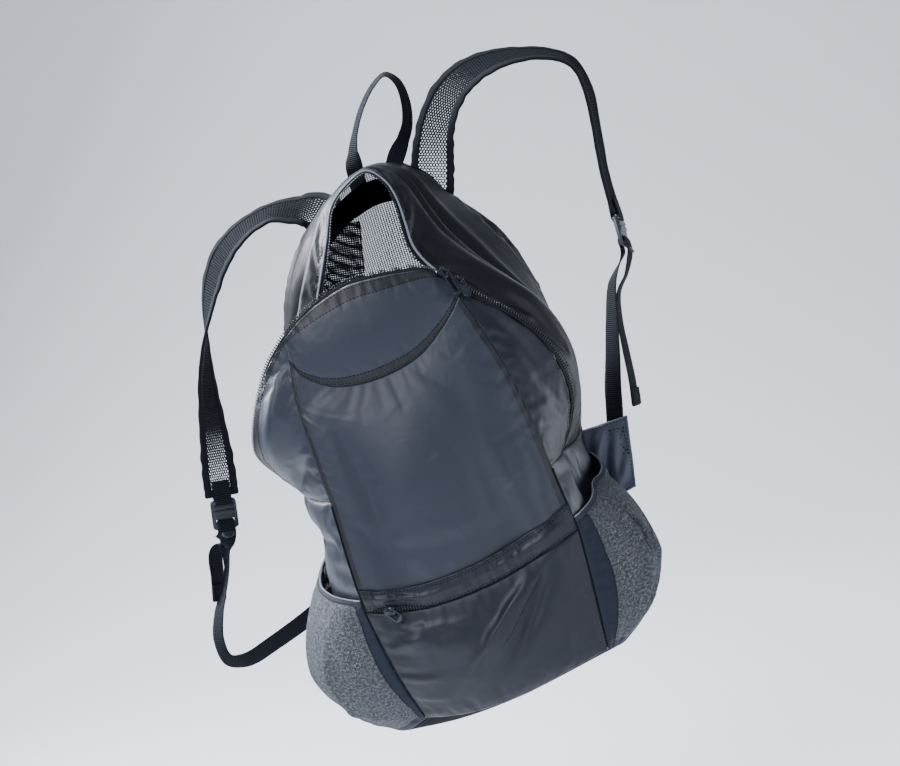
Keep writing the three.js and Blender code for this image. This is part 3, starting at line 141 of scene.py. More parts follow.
edges = {
    "frontLeftLow": seam("frontFootLeft", [(-0.72, 0.965, 0.111), (-0.78, 0.993, 0.199), (-0.822, 1, 0.294)],
                         "frontWaistLeft", cells["low"]),
    "frontLeftUpper": seam("frontWaistLeft", [(-0.839, 0.972, 0.56), (-0.847, 0.951, 0.648)],
                           "yokeLeft", cells["upper"]),
    "frontRightLow": seam("frontFootRight", [(0.695, 0.972, 0.124), (0.712, 0.993, 0.204),
                                             (0.72, 0.993, 0.296)],
                          "frontWaistRight", cells["low"]),
    "frontRightUpper": seam("frontWaistRight", [(0.644, 0.965, 0.498), (0.576, 0.944, 0.608),
                                                (0.475, 0.915, 0.697)],
                            "yokeRight", cells["upper"]),
    "yokeSeam": seam("yokeLeft", [(-0.746, 0.937, 0.686), (-0.593, 0.951, 0.659), (-0.407, 0.958, 0.648),
                                  (-0.178, 0.958, 0.65), (0.051, 0.951, 0.666), (0.22, 0.937, 0.695),
                                  (0.339, 0.915, 0.723)], "yokeRight", cells["across"]),
    "backLeftLow": seam("backFootLeft", [(-0.873, 0.014, 0.1), (-0.932, 0, 0.199), (-0.966, 0, 0.294)],
                        "backWaistLeft", cells["low"]),
    "backLeftUpper": seam("backWaistLeft", [(-1, 0, 0.575), (-0.983, 0, 0.675)], "shoulderLeft",
                          cells["upper"]),
    "backTop": seam("shoulderLeft", [(-0.805, 0, 0.836), (-0.593, 0, 0.915), (-0.322, 0, 0.975),
                                     (-0.06, 0, 1.006),
                                     (0.14, 0, 1.004), (0.356, 0, 0.972), (0.5, 0, 0.918), (0.68, 0, 0.862),
                                     (0.78, 0, 0.824)], "shoulderRight", cells["across"]),
    "backRightLow": seam("backFootRight", [(0.814, 0.014, 0.124), (0.856, 0, 0.21), (0.89, 0, 0.296)],
                         "backWaistRight", cells["low"]),
    "backRightUpper": seam("backWaistRight", [(0.958, 0, 0.498), (0.966, 0, 0.608), (0.93, 0, 0.7)],
                           "shoulderRight", cells["upper"]),
    "flapEdgeLeft": seam("zipEndLeft", [(-1.19, 0.545, 0.515), (-1.263, 0.655, 0.556), (-1.263, 0.718, 0.58),
                                        (-1.22, 0.775, 0.617), (-1.119, 0.831, 0.668),
                                        (-0.983, 0.873, 0.717)],
                         "flapCorner", cells["upper"]),
    "flapEdgeTop": seam("flapCorner", [(-0.661, 0.93, 0.785), (-0.492, 0.944, 0.805), (-0.297, 0.944, 0.819),
                                       (-0.127, 0.944, 0.819), (0.076, 0.93, 0.814), (0.246, 0.915, 0.805)],
                        "sliders", cells["across"]),
    "hoodEdge": seam("zipEndLeft", [(-0.99, 0.47, 0.54), (-0.87, 0.52, 0.62), (-0.72, 0.59, 0.72),
                                    (-0.551, 0.634, 0.805), (-0.449, 0.676, 0.856), (-0.356, 0.704, 0.905),
                                    (-0.254, 0.704, 0.96), (-0.102, 0.662, 0.991), (0.034, 0.648, 1.002),
                                    (0.144, 0.662, 0.973), (0.186, 0.704, 0.936), (0.195, 0.746, 0.898),
                                    (0.203, 0.789, 0.852), (0.254, 0.817, 0.819)],
                     "sliders", cells["upper"] + cells["across"]),
    "closedZip": seam("zipEndRight", [(0.881, 0.577, 0.465), (0.941, 0.634, 0.509), (0.932, 0.69, 0.575),
                                      (0.856, 0.746, 0.633), (0.703, 0.803, 0.69), (0.542, 0.845, 0.732)],
                      "sliders", cells["upper"]),
    "baseFront": seam("frontFootLeft", [(-0.347, 0.901, 0.024), (0.025, 0.908, 0.031), (0.407, 0.908, 0.05)],
                      "frontFootRight", cells["across"]),
    "baseBack": seam("backFootLeft", [(-0.3, 0.056, 0.008), (0.3, 0.056, 0.02)], "backFootRight",
                     cells["across"]),
    "baseLeft": seam("backFootLeft", [(-0.86, 0.32, -0.004), (-0.84, 0.62, -0.003)],
                     "frontFootLeft", cells["flap"] + cells["rear"]),
    "baseRight": seam("backFootRight", [(0.8, 0.32, 0.036), (0.79, 0.62, 0.044)],
                      "frontFootRight", cells["flap"] + cells["rear"]),
    "leftGussetFoot": seam("zipEndLeft", [(-0.98, 0.72, 0.464)], "frontWaistLeft", cells["flap"]),
    "leftRearFoot": seam("backWaistLeft", [(-1.07, 0.24, 0.465)], "zipEndLeft", cells["rear"]),
    "rightGussetFoot": seam("frontWaistRight", [(0.75, 0.75, 0.415)], "zipEndRight", cells["flap"]),
    "rightRearFoot": seam("zipEndRight", [(0.88, 0.25, 0.412)], "backWaistRight", cells["rear"]),
    "leftGussetHead": seam("flapCorner", [], "yokeLeft", cells["flap"]),
    "rightGussetHead": seam("yokeRight", [], "sliders", cells["flap"]),
}


def run(*names):
    # seams one after the other, a name with a minus sign taken backwards
    lines = [edges[name[1:]][::-1] if name[0] == "-" else edges[name] for name in names]
    return np.vstack([lines[0]] + [line[1:] for line in lines[1:]])


# Mean width and height of a grid
def gridSize(grid):
    return [np.linalg.norm(np.diff(grid, axis=axis), axis=2).sum(axis).mean() for axis in (1, 0)]


# Grid of points between four edges: bottom and top run along u, left and right along v
def edgeGrid(bottom, top, left, right):
    u = np.linspace(0, 1, len(bottom))[None, :, None]
    v = np.linspace(0, 1, len(left))[:, None, None]
    grid = (1 - v) * bottom[None] + v * top[None] + (1 - u) * left[:, None] + u * right[:, None]
    grid = grid - (1 - u) * (1 - v) * bottom[0] - u * (1 - v) * bottom[-1]
    return grid - (1 - u) * v * top[0] - u * v * top[-1]


def gridNormals(grid):
    return unit(np.cross(np.gradient(grid, axis=1), np.gradient(grid, axis=0)))


def shareGrid(grid):
    rows, columns = grid.shape[:2]
    return np.meshgrid(np.linspace(0, 1, columns), np.linspace(0, 1, rows))


# Folds: u and v are the middle of a ridge, along and wide its half sizes, turn its direction in degrees
# and rise its height as a share of the bag's depth
def foldHeight(rows, u, v):
    total = np.zeros_like(u)
    for middleU, middleV, along, wide, turn, rise in rows:
        angle = math.radians(turn)
        onRidge = (u - middleU) * math.cos(angle) + (v - middleV) * math.sin(angle)
        offRidge = (v - middleV) * math.cos(angle) - (u - middleU) * math.sin(angle)
        total += rise * np.exp(-(onRidge / along) ** 2 - (offRidge / wide) ** 2)
    fade = np.minimum(1, 5 * np.minimum(u, 1 - u)) * np.minimum(1, 5 * np.minimum(v, 1 - v))
    return fade * bag["depth"] * total


panelCut = {
    "frontBulge": 11,
    "bottomSag": 2,
    "folds": {
        "front_panel": [(0.82, 0.42, 0.3, 0.06, 112, 0.03), (0.2, 0.5, 0.28, 0.08, 80, -0.025),
                        (0.1, 0.3, 0.16, 0.05, 120, 0.03)],
        "front_yoke": [(0.45, 0.5, 0.35, 0.3, 0, 0.02)],
        "left_gusset": [(0.5, 0.55, 0.3, 0.22, 70, 0.07), (0.55, 0.2, 0.25, 0.15, 20, -0.05)],
        "right_gusset": [(0.5, 0.5, 0.4, 0.25, 80, -0.03)],
        "hood": [(0.8, 0.3, 0.16, 0.14, 10, 0.1), (0.7, 0.45, 0.14, 0.12, 20, -0.07),
                 (0.62, 0.4, 0.05, 0.3, 90, 0.05), (0.93, 0.55, 0.06, 0.4, 90, 0.05),
                 (0.32, 0.4, 0.06, 0.35, 80, -0.05), (0.14, 0.5, 0.08, 0.3, 60, 0.04),
                 (0.2, 0.52, 0.17, 0.13, 2, -0.13), (0.24, 0.2, 0.16, 0.1, 0, 0.04)],
        "left_side_panel": [(0.6, 0.82, 0.3, 0.12, 20, -0.05)],
        "right_side_panel": [(0.4, 0.85, 0.3, 0.12, 160, -0.04)],
    },
}
flatPanels = {
    "front_panel": edgeGrid(run("baseFront"), run("yokeSeam"), run("frontLeftLow", "frontLeftUpper"),
                            run("frontRightLow", "frontRightUpper")),
    "front_yoke": edgeGrid(run("yokeSeam"), run("flapEdgeTop"), run("-leftGussetHead"),
                           run("rightGussetHead")),
    "left_gusset": edgeGrid(run("leftGussetFoot"), run("leftGussetHead"), run("flapEdgeLeft"),
                            run("frontLeftUpper")),
    "right_gusset": edgeGrid(run("rightGussetFoot"), run("rightGussetHead"), run("frontRightUpper"),
                             run("closedZip")),
    "hood": edgeGrid(run("hoodEdge", "-closedZip"), run("backLeftUpper", "backTop", "-backRightUpper"),
                     run("-leftRearFoot"), run("rightRearFoot")),
    "left_side_panel": edgeGrid(run("baseLeft"), run("leftRearFoot", "leftGussetFoot"), run("backLeftLow"),
                                run("frontLeftLow")),
    "right_side_panel": edgeGrid(run("-baseRight"), run("rightGussetFoot", "rightRearFoot"),
                                 run("frontRightLow"),
                                 run("backRightLow")),
    "back_panel": edgeGrid(run("-baseBack"), run("-backTop"), run("backRightLow", "backRightUpper"),
                           run("backLeftLow", "backLeftUpper")),
    "bottom_panel": edgeGrid(run("baseBack"), run("baseFront"), run("baseLeft"), run("baseRight")),
}


def shapedPanel(name):
    grid = flatPanels[name]
    u, v = shareGrid(grid)
    bulge = {"front_panel": panelCut["frontBulge"], "bottom_panel": panelCut["bottomSag"]}.get(name, 0)
    height = bulge * np.sin(np.pi * u) * np.sin(np.pi * v) + foldHeight(panelCut["folds"].get(name, []), u, v)
    return grid + gridNormals(grid) * height[..., None]


panels = {name: shapedPanel(name) for name in flatPanels}
print("panels shaped")

# Layers laid over a panel

def onGrid(grid, u, v):
    rows, columns = grid.shape[:2]
    x, y = np.clip(u, 0, 1) * (columns - 1), np.clip(v, 0, 1) * (rows - 1)
    i, j = np.minimum(x.astype(int), columns - 2), np.minimum(y.astype(int), rows - 2)
    x, y = (x - i)[..., None], (y - j)[..., None]
    low = grid[j, i] * (1 - x) + grid[j, i + 1] * x
    high = grid[j + 1, i] * (1 - x) + grid[j + 1, i + 1] * x
    return low * (1 - y) + high * y


def layer(panel, columns, rows, sides, bottom, top, lift):
    u, v = np.meshgrid(np.linspace(0, 1, columns + 1), np.linspace(0, 1, rows + 1))
    panelU = sides[0] + (sides[1] - sides[0]) * u
    panelV = bottom(panelU) * (1 - v) + top(panelU) * v
    spots = onGrid(panel, panelU, panelV)
    facing = unit(onGrid(gridNormals(panel), panelU, panelV))
    return spots + facing * lift(u, v)[..., None]


def between(pair, share):
    return pair[0] + (pair[1] - pair[0]) * share


frontPocket = {
    "top": (0.232, 0.285),                      # shares of the front panel's height at its two seams
    "bandTop": (0.275, 0.348),
    "bulge": 7, "edgeLift": 0.8, "bodyLift": 2.2,  # mm
    "zipGap": 0.6, "lipGap": 0.3,
    "sideSettle": 0.05, "footSettle": 0.08,     # shares over which the cloth rises from its seams
    "slitAt": 0.15, "slitWide": 0.1, "slitOpen": 4.0,  # open part of the pocket zip: shares of the width, mm
    "folds": [(0.62, 0.66, 0.42, 0.05, 55, 0.055), (0.69, 0.6, 0.3, 0.045, 62, -0.03),
              (0.28, 0.7, 0.3, 0.12, 150, 0.03), (0.1, 0.72, 0.16, 0.035, 35, 0.02),
              (0.12, 0.42, 0.1, 0.03, 10, 0.018), (0.1, 0.24, 0.1, 0.03, 5, 0.016)],
    "bandFolds": [(0.12, 0.5, 0.1, 0.12, 30, 0.012), (0.3, 0.5, 0.1, 0.1, 150, 0.01),
                  (0.78, 0.5, 0.12, 0.12, 150, 0.014),
                  (0.92, 0.5, 0.08, 0.14, 30, 0.012), (0.6, 0.5, 0.1, 0.1, 20, 0.008)],
}
frontHeight = 324.0  # mm along the front panel, from its foot to the yoke


def pocketTop(u):
    return between(frontPocket["top"], u)


def bandTop(u):
    return between(frontPocket["bandTop"], u)


def bandBottom(u):
    slit = frontPocket["slitOpen"] * np.exp(-((u - frontPocket["slitAt"]) / frontPocket["slitWide"]) ** 4)
    return pocketTop(u) + frontPocket["zipGap"] / frontHeight + (frontPocket["lipGap"] + slit) / frontHeight


def seamLift(u):
    settled = np.minimum(1, np.minimum(u, 1 - u) / frontPocket["sideSettle"])
    return frontPocket["edgeLift"], (frontPocket["bodyLift"] - frontPocket["edgeLift"]) * settled


def pocketLift(u, v):
    low, rise = seamLift(u)
    swell = np.sin(np.pi * u) * np.maximum(0, np.sin(np.pi * np.minimum(1, 0.15 + 0.85 * v))) ** 0.7
    lift = low + rise * np.minimum(1, v / frontPocket["footSettle"])
    return lift + frontPocket["bulge"] * swell + foldHeight(frontPocket["folds"], u, v)


def bandLift(u, v):
    return sum(seamLift(u)) + foldHeight(frontPocket["bandFolds"], u, v)


sidePockets = {
    "left": {"panel": "left_side_panel", "backLip": 0.74, "frontLip": 0.56, "drawIn": 0.68,
             "frontAtEnd": True,
             "folds": [(0.72, 0.5, 0.34, 0.03, 78, 0.022), (0.86, 0.62, 0.22, 0.025, 100, 0.016),
                       (0.6, 0.3, 0.26, 0.045, 60, -0.02), (0.78, 0.2, 0.2, 0.03, 140, 0.016),
                       (0.5, 0.62, 0.3, 0.05, 95, 0.03), (0.35, 0.4, 0.3, 0.06, 80, -0.03)]},
    "right": {"panel": "right_side_panel", "backLip": 0.86, "frontLip": 0.69, "drawIn": 0.6,
              "frontAtEnd": False,
              "folds": [(0.24, 0.52, 0.42, 0.03, 84, 0.03), (0.12, 0.42, 0.3, 0.03, 96, -0.014),
                        (0.38, 0.66, 0.26, 0.035, 108, 0.026), (0.3, 0.22, 0.2, 0.03, 50, 0.02),
                        (0.46, 0.4, 0.28, 0.05, 75, -0.03), (0.16, 0.75, 0.16, 0.03, 60, 0.02)]},
}
sideNet = {"bulge": 42, "lift": 1.7, "roundness": 0.75, "drawCurve": 1.6, "margin": 0.004}


def sideNetGrid(pocket):
    lips = (pocket["backLip"], pocket["frontLip"])
    if not pocket["frontAtEnd"]:
        lips = lips[::-1]

    def foot(u):
        return np.full_like(u, sideNet["margin"])

    def lip(u):
        return between(lips, u)

    def lift(u, v):
        drawn = pocket["drawIn"] * np.maximum(0, (v - 0.5) / 0.5) ** sideNet["drawCurve"]
        rise = np.sin(np.pi * np.minimum(0.5, 0.9 * v)) - drawn
        swell = sideNet["bulge"] * np.maximum(0, np.sin(np.pi * u)) ** sideNet["roundness"] * rise
        return sideNet["lift"] + np.maximum(0, swell + foldHeight(pocket["folds"], u, v))

    return layer(panels[pocket["panel"]], 44, 40, (sideNet["margin"], 1 - sideNet["margin"]), foot, lip, lift)


cloth = dict(panels)
cloth["front_pocket"] = layer(panels["front_panel"], 48, 26, (0, 1), np.zeros_like, pocketTop, pocketLift)
cloth["front_pocket_band"] = layer(panels["front_panel"], 56, 8, (0, 1), bandBottom, bandTop, bandLift)
for side, pocket in sidePockets.items():
    cloth[f"side_pocket_{side}"] = sideNetGrid(pocket)

# Cloth: all the sewn pieces in one mesh, held along their seams, each a little larger than its outline
clothRun = {
    "frames": 26,
    "quality": 5,
    "spare": 0.02,        # share of spare cloth between seams
    "pressure": 0.16,
    "bending": 0.12,
    "unitsPerMm": 0.01,
    "furthest": 4.0,       # mm that a point may leave its place
    "seamHold": 3.0,       # mm over which the hold of a seam fades
    "still": ("back_panel", "bottom_panel"),
    "stillBelow": {"front_panel": 0.38},  # share of the height that is held
    # share of the movement that a piece keeps, 1 for the others
    "looseness": {"front_panel": 0.3, "front_yoke": 0.5, "front_pocket": 0.4, "front_pocket_band": 0.5,
                  "left_gusset": 0.7, "right_gusset": 0.6},
}


def heldWeights(name, grid):
    u, v = shareGrid(grid)
    width, height = gridSize(grid)
    inside = np.minimum(np.minimum(u, 1 - u) * width, np.minimum(v, 1 - v) * height)
    weights = np.clip(1 - inside / clothRun["seamHold"], 0, 1)
    weights = np.maximum(weights, v < clothRun["stillBelow"].get(name, 0))
    if name in clothRun["still"]:
        weights[:] = 1
    return weights


def quads(index):
    return np.stack([index[:-1, :-1], index[:-1, 1:], index[1:, 1:], index[1:, :-1]], axis=-1).reshape(-1, 4)


def crumple(layers):
    points, faces, weights, seen, places = [], [], [], {}, {}
    for name, grid in layers.items():
        held = heldWeights(name, grid)
        index = np.zeros(grid.shape[:2], int)
        shared = name in panels
        for j in range(grid.shape[0]):
            for i in range(grid.shape[1]):
                key = tuple(np.round(grid[j, i], 2)) if shared else (name, j, i)
                if key not in seen:
                    seen[key] = len(points)
                    points.append(grid[j, i])
                    weights.append(held[j, i])
                index[j, i] = seen[key]
                weights[index[j, i]] = max(weights[index[j, i]], held[j, i])
        places[name] = index
        faces += [face for face in quads(index).tolist() if len(set(face)) == 4]
    points = np.array(points)
    mesh = bpy.data.meshes.new("clothRun")
    mesh.from_pydata(points * clothRun["unitsPerMm"], [], faces)
    body = addObject("clothRun", mesh)
    group = body.vertex_groups.new(name="held")
    for index, weight in enumerate(weights):
        group.add([index], float(weight), "REPLACE")
    modifier = body.modifiers.new("cloth", "CLOTH")
    settings = modifier.settings
    settings.quality = clothRun["quality"]
    settings.mass = 0.15
    settings.tension_stiffness = settings.compression_stiffness = 12
    settings.shear_stiffness = 4
    settings.bending_stiffness = clothRun["bending"]
    settings.air_damping = 2
    settings.vertex_group_mass = "held"
    settings.shrink_min = -clothRun["spare"]
    settings.use_pressure = True
    settings.uniform_pressure_force = clothRun["pressure"]
    settings.effector_weights.gravity = 0
    modifier.collision_settings.use_self_collision = False
    modifier.point_cache.frame_start = 1
    modifier.point_cache.frame_end = clothRun["frames"]
    for number in range(1, clothRun["frames"] + 1):
        bpy.context.scene.frame_set(number)
    evaluated = body.evaluated_get(bpy.context.evaluated_depsgraph_get())
    moved = np.array([vertex.co for vertex in evaluated.data.vertices]) / clothRun["unitsPerMm"]
    bpy.context.scene.frame_set(1)
    bpy.data.objects.remove(body)
    shift = moved - points
    length = np.linalg.norm(shift, axis=1, keepdims=True)
    print("cloth moved, mean and most mm:", round(float(length.mean()), 2), round(float(length.max()), 2))
    shift *= np.minimum(1, clothRun["furthest"] / np.maximum(length, 1e-6))
    loose = clothRun["looseness"]
    return {name: grid + shift[places[name]] * loose.get(name, 1) for name, grid in layers.items()}


cloth = crumple(cloth)
panels = {name: cloth[name] for name in panels}
print("cloth ready")

# Camera at the photograph's angle: the bag leans, so the camera is rolled instead
shot = {
    "target": (17, -62, 265),  # mm from the foot of the back panel
    "azimuth": 4, "elevation": 6, "roll": 17, "distance": 1764,
    "lens": 85,
}


def addCamera():
    azimuth, elevation, roll = (math.radians(shot[key]) for key in ("azimuth", "elevation", "roll"))
    level = math.cos(elevation)
    back = Vector((math.sin(azimuth) * level, -math.cos(azimuth) * level, math.sin(elevation)))
    right = (-back).cross(Vector((0, 0, 1))).normalized()
    up = right.cross(-back)
    tiltedUp = up * math.cos(roll) + right * math.sin(roll)
    tiltedRight = right * math.cos(roll) - up * math.sin(roll)
    data = bpy.data.cameras.new("photoCamera")
    data.lens = shot["lens"]
    data.sensor_width = 36
    data.sensor_fit = "HORIZONTAL"
    data.clip_start = 0.1
    data.clip_end = 50
    camera = addObject("photoCamera", data)
    turned = np.eye(4)
    turned[:3, 0], turned[:3, 1], turned[:3, 2] = tiltedRight, tiltedUp, back
    turned[:3, 3] = Vector(toFrame(shot["target"])) + back * shot["distance"] / 1000
    camera.matrix_world = Matrix(turned.tolist())
    bpy.context.scene.camera = camera


addCamera()


def addNode(tree, kind, inputs=(), **settings):
    node = tree.nodes.new(kind)
    for key, value in settings.items():
        setattr(node, key, value)
    for key, value in dict(inputs).items():
        if isinstance(value, bpy.types.NodeSocket):
            tree.links.new(value, node.inputs[key])
        else:
            node.inputs[key].default_value = value
    return node


def maths(tree, operation, first, second=0.0, clamped=False):
    node = addNode(tree, "ShaderNodeMath", {0: first, 1: second}, operation=operation, use_clamp=clamped)
    return node.outputs[0]


def scaled(tree, vector, factor):
    return addNode(tree, "ShaderNodeVectorMath", {0: vector, "Scale": factor}, operation="SCALE").outputs[0]


def mixed(tree, share, first, second):
    return addNode(tree, "ShaderNodeMix", {0: share, 6: first, 7: second}, data_type="RGBA").outputs[2]


def mapped(tree, value, low, high, toLow=0.0, toHigh=1.0):
    return addNode(tree, "ShaderNodeMapRange", {"Value": value, "From Min": low, "From Max": high,
                                                "To Min": toLow, "To Max": toHigh}).outputs[0]


def linear(part):
    return part / 12.92 if part <= 0.04045 else ((part + 0.055) / 1.055) ** 2.4


def hexColour(code):
    return tuple(linear(int(code[start:start + 2], 16) / 255) for start in (1, 3, 5)) + (1.0,)


def newMaterial(name, roughness, specular=0.5, metallic=0.0):
    material = bpy.data.materials.new(name)
    material.use_nodes = True
    tree = material.node_tree
    shader = tree.nodes["Principled BSDF"]
    shader.inputs["Roughness"].default_value = roughness
    shader.inputs["Specular IOR Level"].default_value = specular
    shader.inputs["Metallic"].default_value = metallic
    return material, tree, shader


# UV maps are in metres of cloth, so 1000 of their units make a millimetre
def mmPattern(tree, mm):
    return scaled(tree, addNode(tree, "ShaderNodeUVMap", uv_map="cloth").outputs["UV"], 1000 / mm)


def noise(tree, vector, detail, scale=1.0):
    return addNode(tree, "ShaderNodeTexNoise", {"Vector": vector, "Scale": scale,
                                                "Detail": detail}).outputs["Fac"]


def creaseNoise(tree, mm, detail, distortion):
    node = addNode(tree, "ShaderNodeTexNoise", {"Vector": mmPattern(tree, mm), "Scale": 1.0, "Detail": detail,
                                                "Distortion": distortion},
                   noise_type="RIDGED_MULTIFRACTAL", normalize=True)
    return node.outputs["Fac"]


def finished(tree, shader, colour, height, depth, **under):
    tree.links.new(colour, shader.inputs["Base Color"])
    bump = addNode(tree, "ShaderNodeBump", {"Height": height, "Distance": depth, **under})
    tree.links.new(bump.outputs["Normal"], shader.inputs["Normal"])


def tapeShare(tree):
    return addNode(tree, "ShaderNodeAttribute", attribute_name="tape").outputs["Fac"]


# Calendered ripstop nylon: thin, tightly woven and pressed shiny, so it creases sharply and glints in streaks
nylonLook = {
    "roughness": 0.45,
    "gridMm": 2.4,      # ripstop squares, drawn a little coarser than the real 5 threads a mm allow
    "creaseMm": 26, "creaseDepth": 0.00045,
    "creaseShadeStops": (0.3, 0.72),
    "weaveDepth": 0.00002,
}


def nylonMaterial(name, light, dark, tapeColour, specular, roughness=nylonLook["roughness"]):
    material, tree, shader = newMaterial(name, roughness, specular)
    creases = creaseNoise(tree, nylonLook["creaseMm"], 3.0, 0.8)
    # Colour lighter on the crease noise's ridges than between them: a faint painted highlight and shade on
    # the creases
    tone = addNode(tree, "ShaderNodeValToRGB", {"Fac": creases})
    for stop, position, colour in zip(tone.color_ramp.elements, nylonLook["creaseShadeStops"], (dark, light)):
        stop.position = position
        stop.color = hexColour(colour)
    tapeEdge = mapped(tree, tapeShare(tree), 0.45, 0.55)
    colour = mixed(tree, tapeEdge, tone.outputs["Color"], hexColour(tapeColour))
    black, white = (0, 0, 0, 1), (1, 1, 1, 1)
    threads = addNode(tree, "ShaderNodeTexBrick", {
        "Vector": mmPattern(tree, nylonLook["gridMm"]), "Scale": 1.0, "Mortar Size": 0.09,
        "Mortar Smooth": 0.6,
        "Brick Width": 1.0, "Row Height": 1.0, "Color1": black, "Color2": black, "Mortar": white}, offset=0.0)
    weave = addNode(tree, "ShaderNodeBump", {"Height": threads.outputs["Color"],
                                             "Distance": nylonLook["weaveDepth"]})
    finished(tree, shader, colour, creases, nylonLook["creaseDepth"], Normal=weave.outputs["Normal"])
    return material


# Warp-knitted polyester nets: square meshes, drawn a little coarser than real so that they show
netLook = {
    # colours: the net's own colour, then the painted highlight along its creases
    "pocket": {"colours": ("#383b41", "#a3a7ac"), "meshMm": 1.6, "yarn": 0.28, "crease": 0.0016,
               "creaseMm": 38},
    # darker net for the sheet that paints shade over the back net's left third
    "inner": {"colours": ("#4a4f58", "#585d66"), "meshMm": 1.9, "yarn": 0.29, "crease": 0.0002,
              "creaseMm": 40},
    "back": {"colours": ("#7b828b", "#888f98"), "meshMm": 1.7, "yarn": 0.22, "crease": 0.0002,
             "creaseMm": 40},
}


netStrip = "#1d222e"  # nylon sewn along the net's seams


def netMaterial(name, look):
    material, tree, shader = newMaterial(name, 0.7, 0.2)
    parts = addNode(tree, "ShaderNodeSeparateXYZ", {"Vector": mmPattern(tree, look["meshMm"])})
    lines = []
    for axis in ("X", "Y"):
        cell = maths(tree, "FRACT", parts.outputs[axis])
        away = maths(tree, "ABSOLUTE", maths(tree, "SUBTRACT", cell, 0.5))
        lines.append(maths(tree, "LESS_THAN", away, look["yarn"]))
    strip = maths(tree, "GREATER_THAN", tapeShare(tree), 0.5)
    solid = maths(tree, "MAXIMUM", maths(tree, "MAXIMUM", *lines), strip)
    tree.links.new(solid, shader.inputs["Alpha"])
    # Lighter along the crease noise's ridges: painted highlight on the net's creases, mixed with a random
    # grain
    creases = creaseNoise(tree, look["creaseMm"], 2.0, 0.6)
    creaseHighlight = mapped(tree, creases, 0.5, 0.95)
    grain = mapped(tree, noise(tree, mmPattern(tree, 2.4), 3.0), 0.3, 0.7, -0.12, 0.3)
    share = maths(tree, "ADD", creaseHighlight, grain, True)
    tone = mixed(tree, share, *(hexColour(colour) for colour in look["colours"]))
    finished(tree, shader, mixed(tree, strip, tone, hexColour(netStrip)), creases, look["crease"])
    return material


# Woven polyester or nylon tape: dull, with a fine cross rib
def tapeMaterial(name, colours, ribMm, depth, roughness=0.7, specular=0.2, ribbed=False):
    material, tree, shader = newMaterial(name, roughness, specular)
    ribs = addNode(tree, "ShaderNodeTexWave", {"Vector": mmPattern(tree, ribMm * 20 / (2 * math.pi)),
                                               "Scale": 1.0, "Distortion": 0.0}, bands_direction="Y")
    ribHeight = ribs.outputs["Fac"]
    # With ribbed on, the colour follows the rib height: painted shade in the grooves, painted highlight on
    # the crests
    share = ribHeight if ribbed else noise(tree, mmPattern(tree, 1.2), 3.0)
    tone = mixed(tree, share, *(hexColour(colour) for colour in colours))
    finished(tree, shader, tone, ribHeight, depth)
    return material


# Injection-moulded acetal and enamelled die castings: an even satin skin with a faint orange peel
def hardMaterial(name, colours, roughness, metallic, peel):
    material, tree, shader = newMaterial(name, roughness, 0.5, metallic)
    skin = noise(tree, addNode(tree, "ShaderNodeTexCoord").outputs["Object"], 2.0, 1400.0)
    tone = mixed(tree, skin, *(hexColour(colour) for colour in colours))
    finished(tree, shader, tone, skin, peel)
    return material


finishes = {
    "nylon": nylonMaterial("ripstopNylon", "#2d323f", "#232834", "#0e1118", 0.42),
    # Lighter copy of the nylon for the wing tabs: painted light against the shadow the bag casts on them
    "litWingNylon": nylonMaterial("ripstopNylonLitWing", "#4a5060", "#3c4250", "#1a1d25", 0.4),
    # Near-black, dull copy of the nylon for the bottom panel: painted shade on the bag's underside
    "baseNylon": nylonMaterial("ripstopNylonShadedBase", "#0c0f16", "#080a0f", "#05070b", 0.08, 0.85),
    # Darker copy of the nylon for the front pocket, its band and the right gusset: painted shade
    "pocketNylon": nylonMaterial("ripstopNylonShadedPocket", "#1c212d", "#161a24", "#0b0e15", 0.34),
    # Near-black copy of the nylon for the hood: painted shade on its top and right side
    "hoodNylon": nylonMaterial("ripstopNylonShadedHood", "#0c1019", "#080b12", "#05070b", 0.28),
    "pocketNet": netMaterial("tulleNet", netLook["pocket"]),
    "backNet": netMaterial("airNet", netLook["back"]),
    "netShadeSheet": netMaterial("airNetShadeSheet", netLook["inner"]),
    "strapYarn": tapeMaterial("strapNetYarn", ("#101318", "#1c2026"), 1.0, 0.00005, 0.8, 0.1),
    "webbing": tapeMaterial("nylonWebbing", ("#030406", "#1c2029"), 1.7, 0.0003, 0.75, 0.12, True),
    "binding": tapeMaterial("bindingTape", ("#0b0e13", "#181b21"), 1.2, 0.00008, 0.8, 0.12),
    # pale tape: its pale colour is a painted highlight along the hood's edge and the pocket lips
    "highlightBinding": tapeMaterial("paintedHighlightTape", ("#6d727b", "#8b9098"), 1.2, 0.00008),
    "netBinding": tapeMaterial("netBindingTape", ("#1d2128", "#343942"), 1.2, 0.00008),
    "zipTape": tapeMaterial("zipTape", ("#0e1117", "#191d24"), 1.0, 0.00008),
    "coil": hardMaterial("nylonCoil", ("#12151b", "#1c2027"), 0.35, 0.0, 0.00002),
    "thread": tapeMaterial("sewingThread", ("#0b0d12", "#14171d"), 0.6, 0.00003, 0.8),
    "acetal": hardMaterial("acetalMoulding", ("#1a1e25", "#22262d"), 0.34, 0.0, 0.00003),
    "sliderEnamel": hardMaterial("sliderEnamel", ("#2c3038", "#3a3f48"), 0.24, 0.6, 0.00002),
}
print("materials ready")


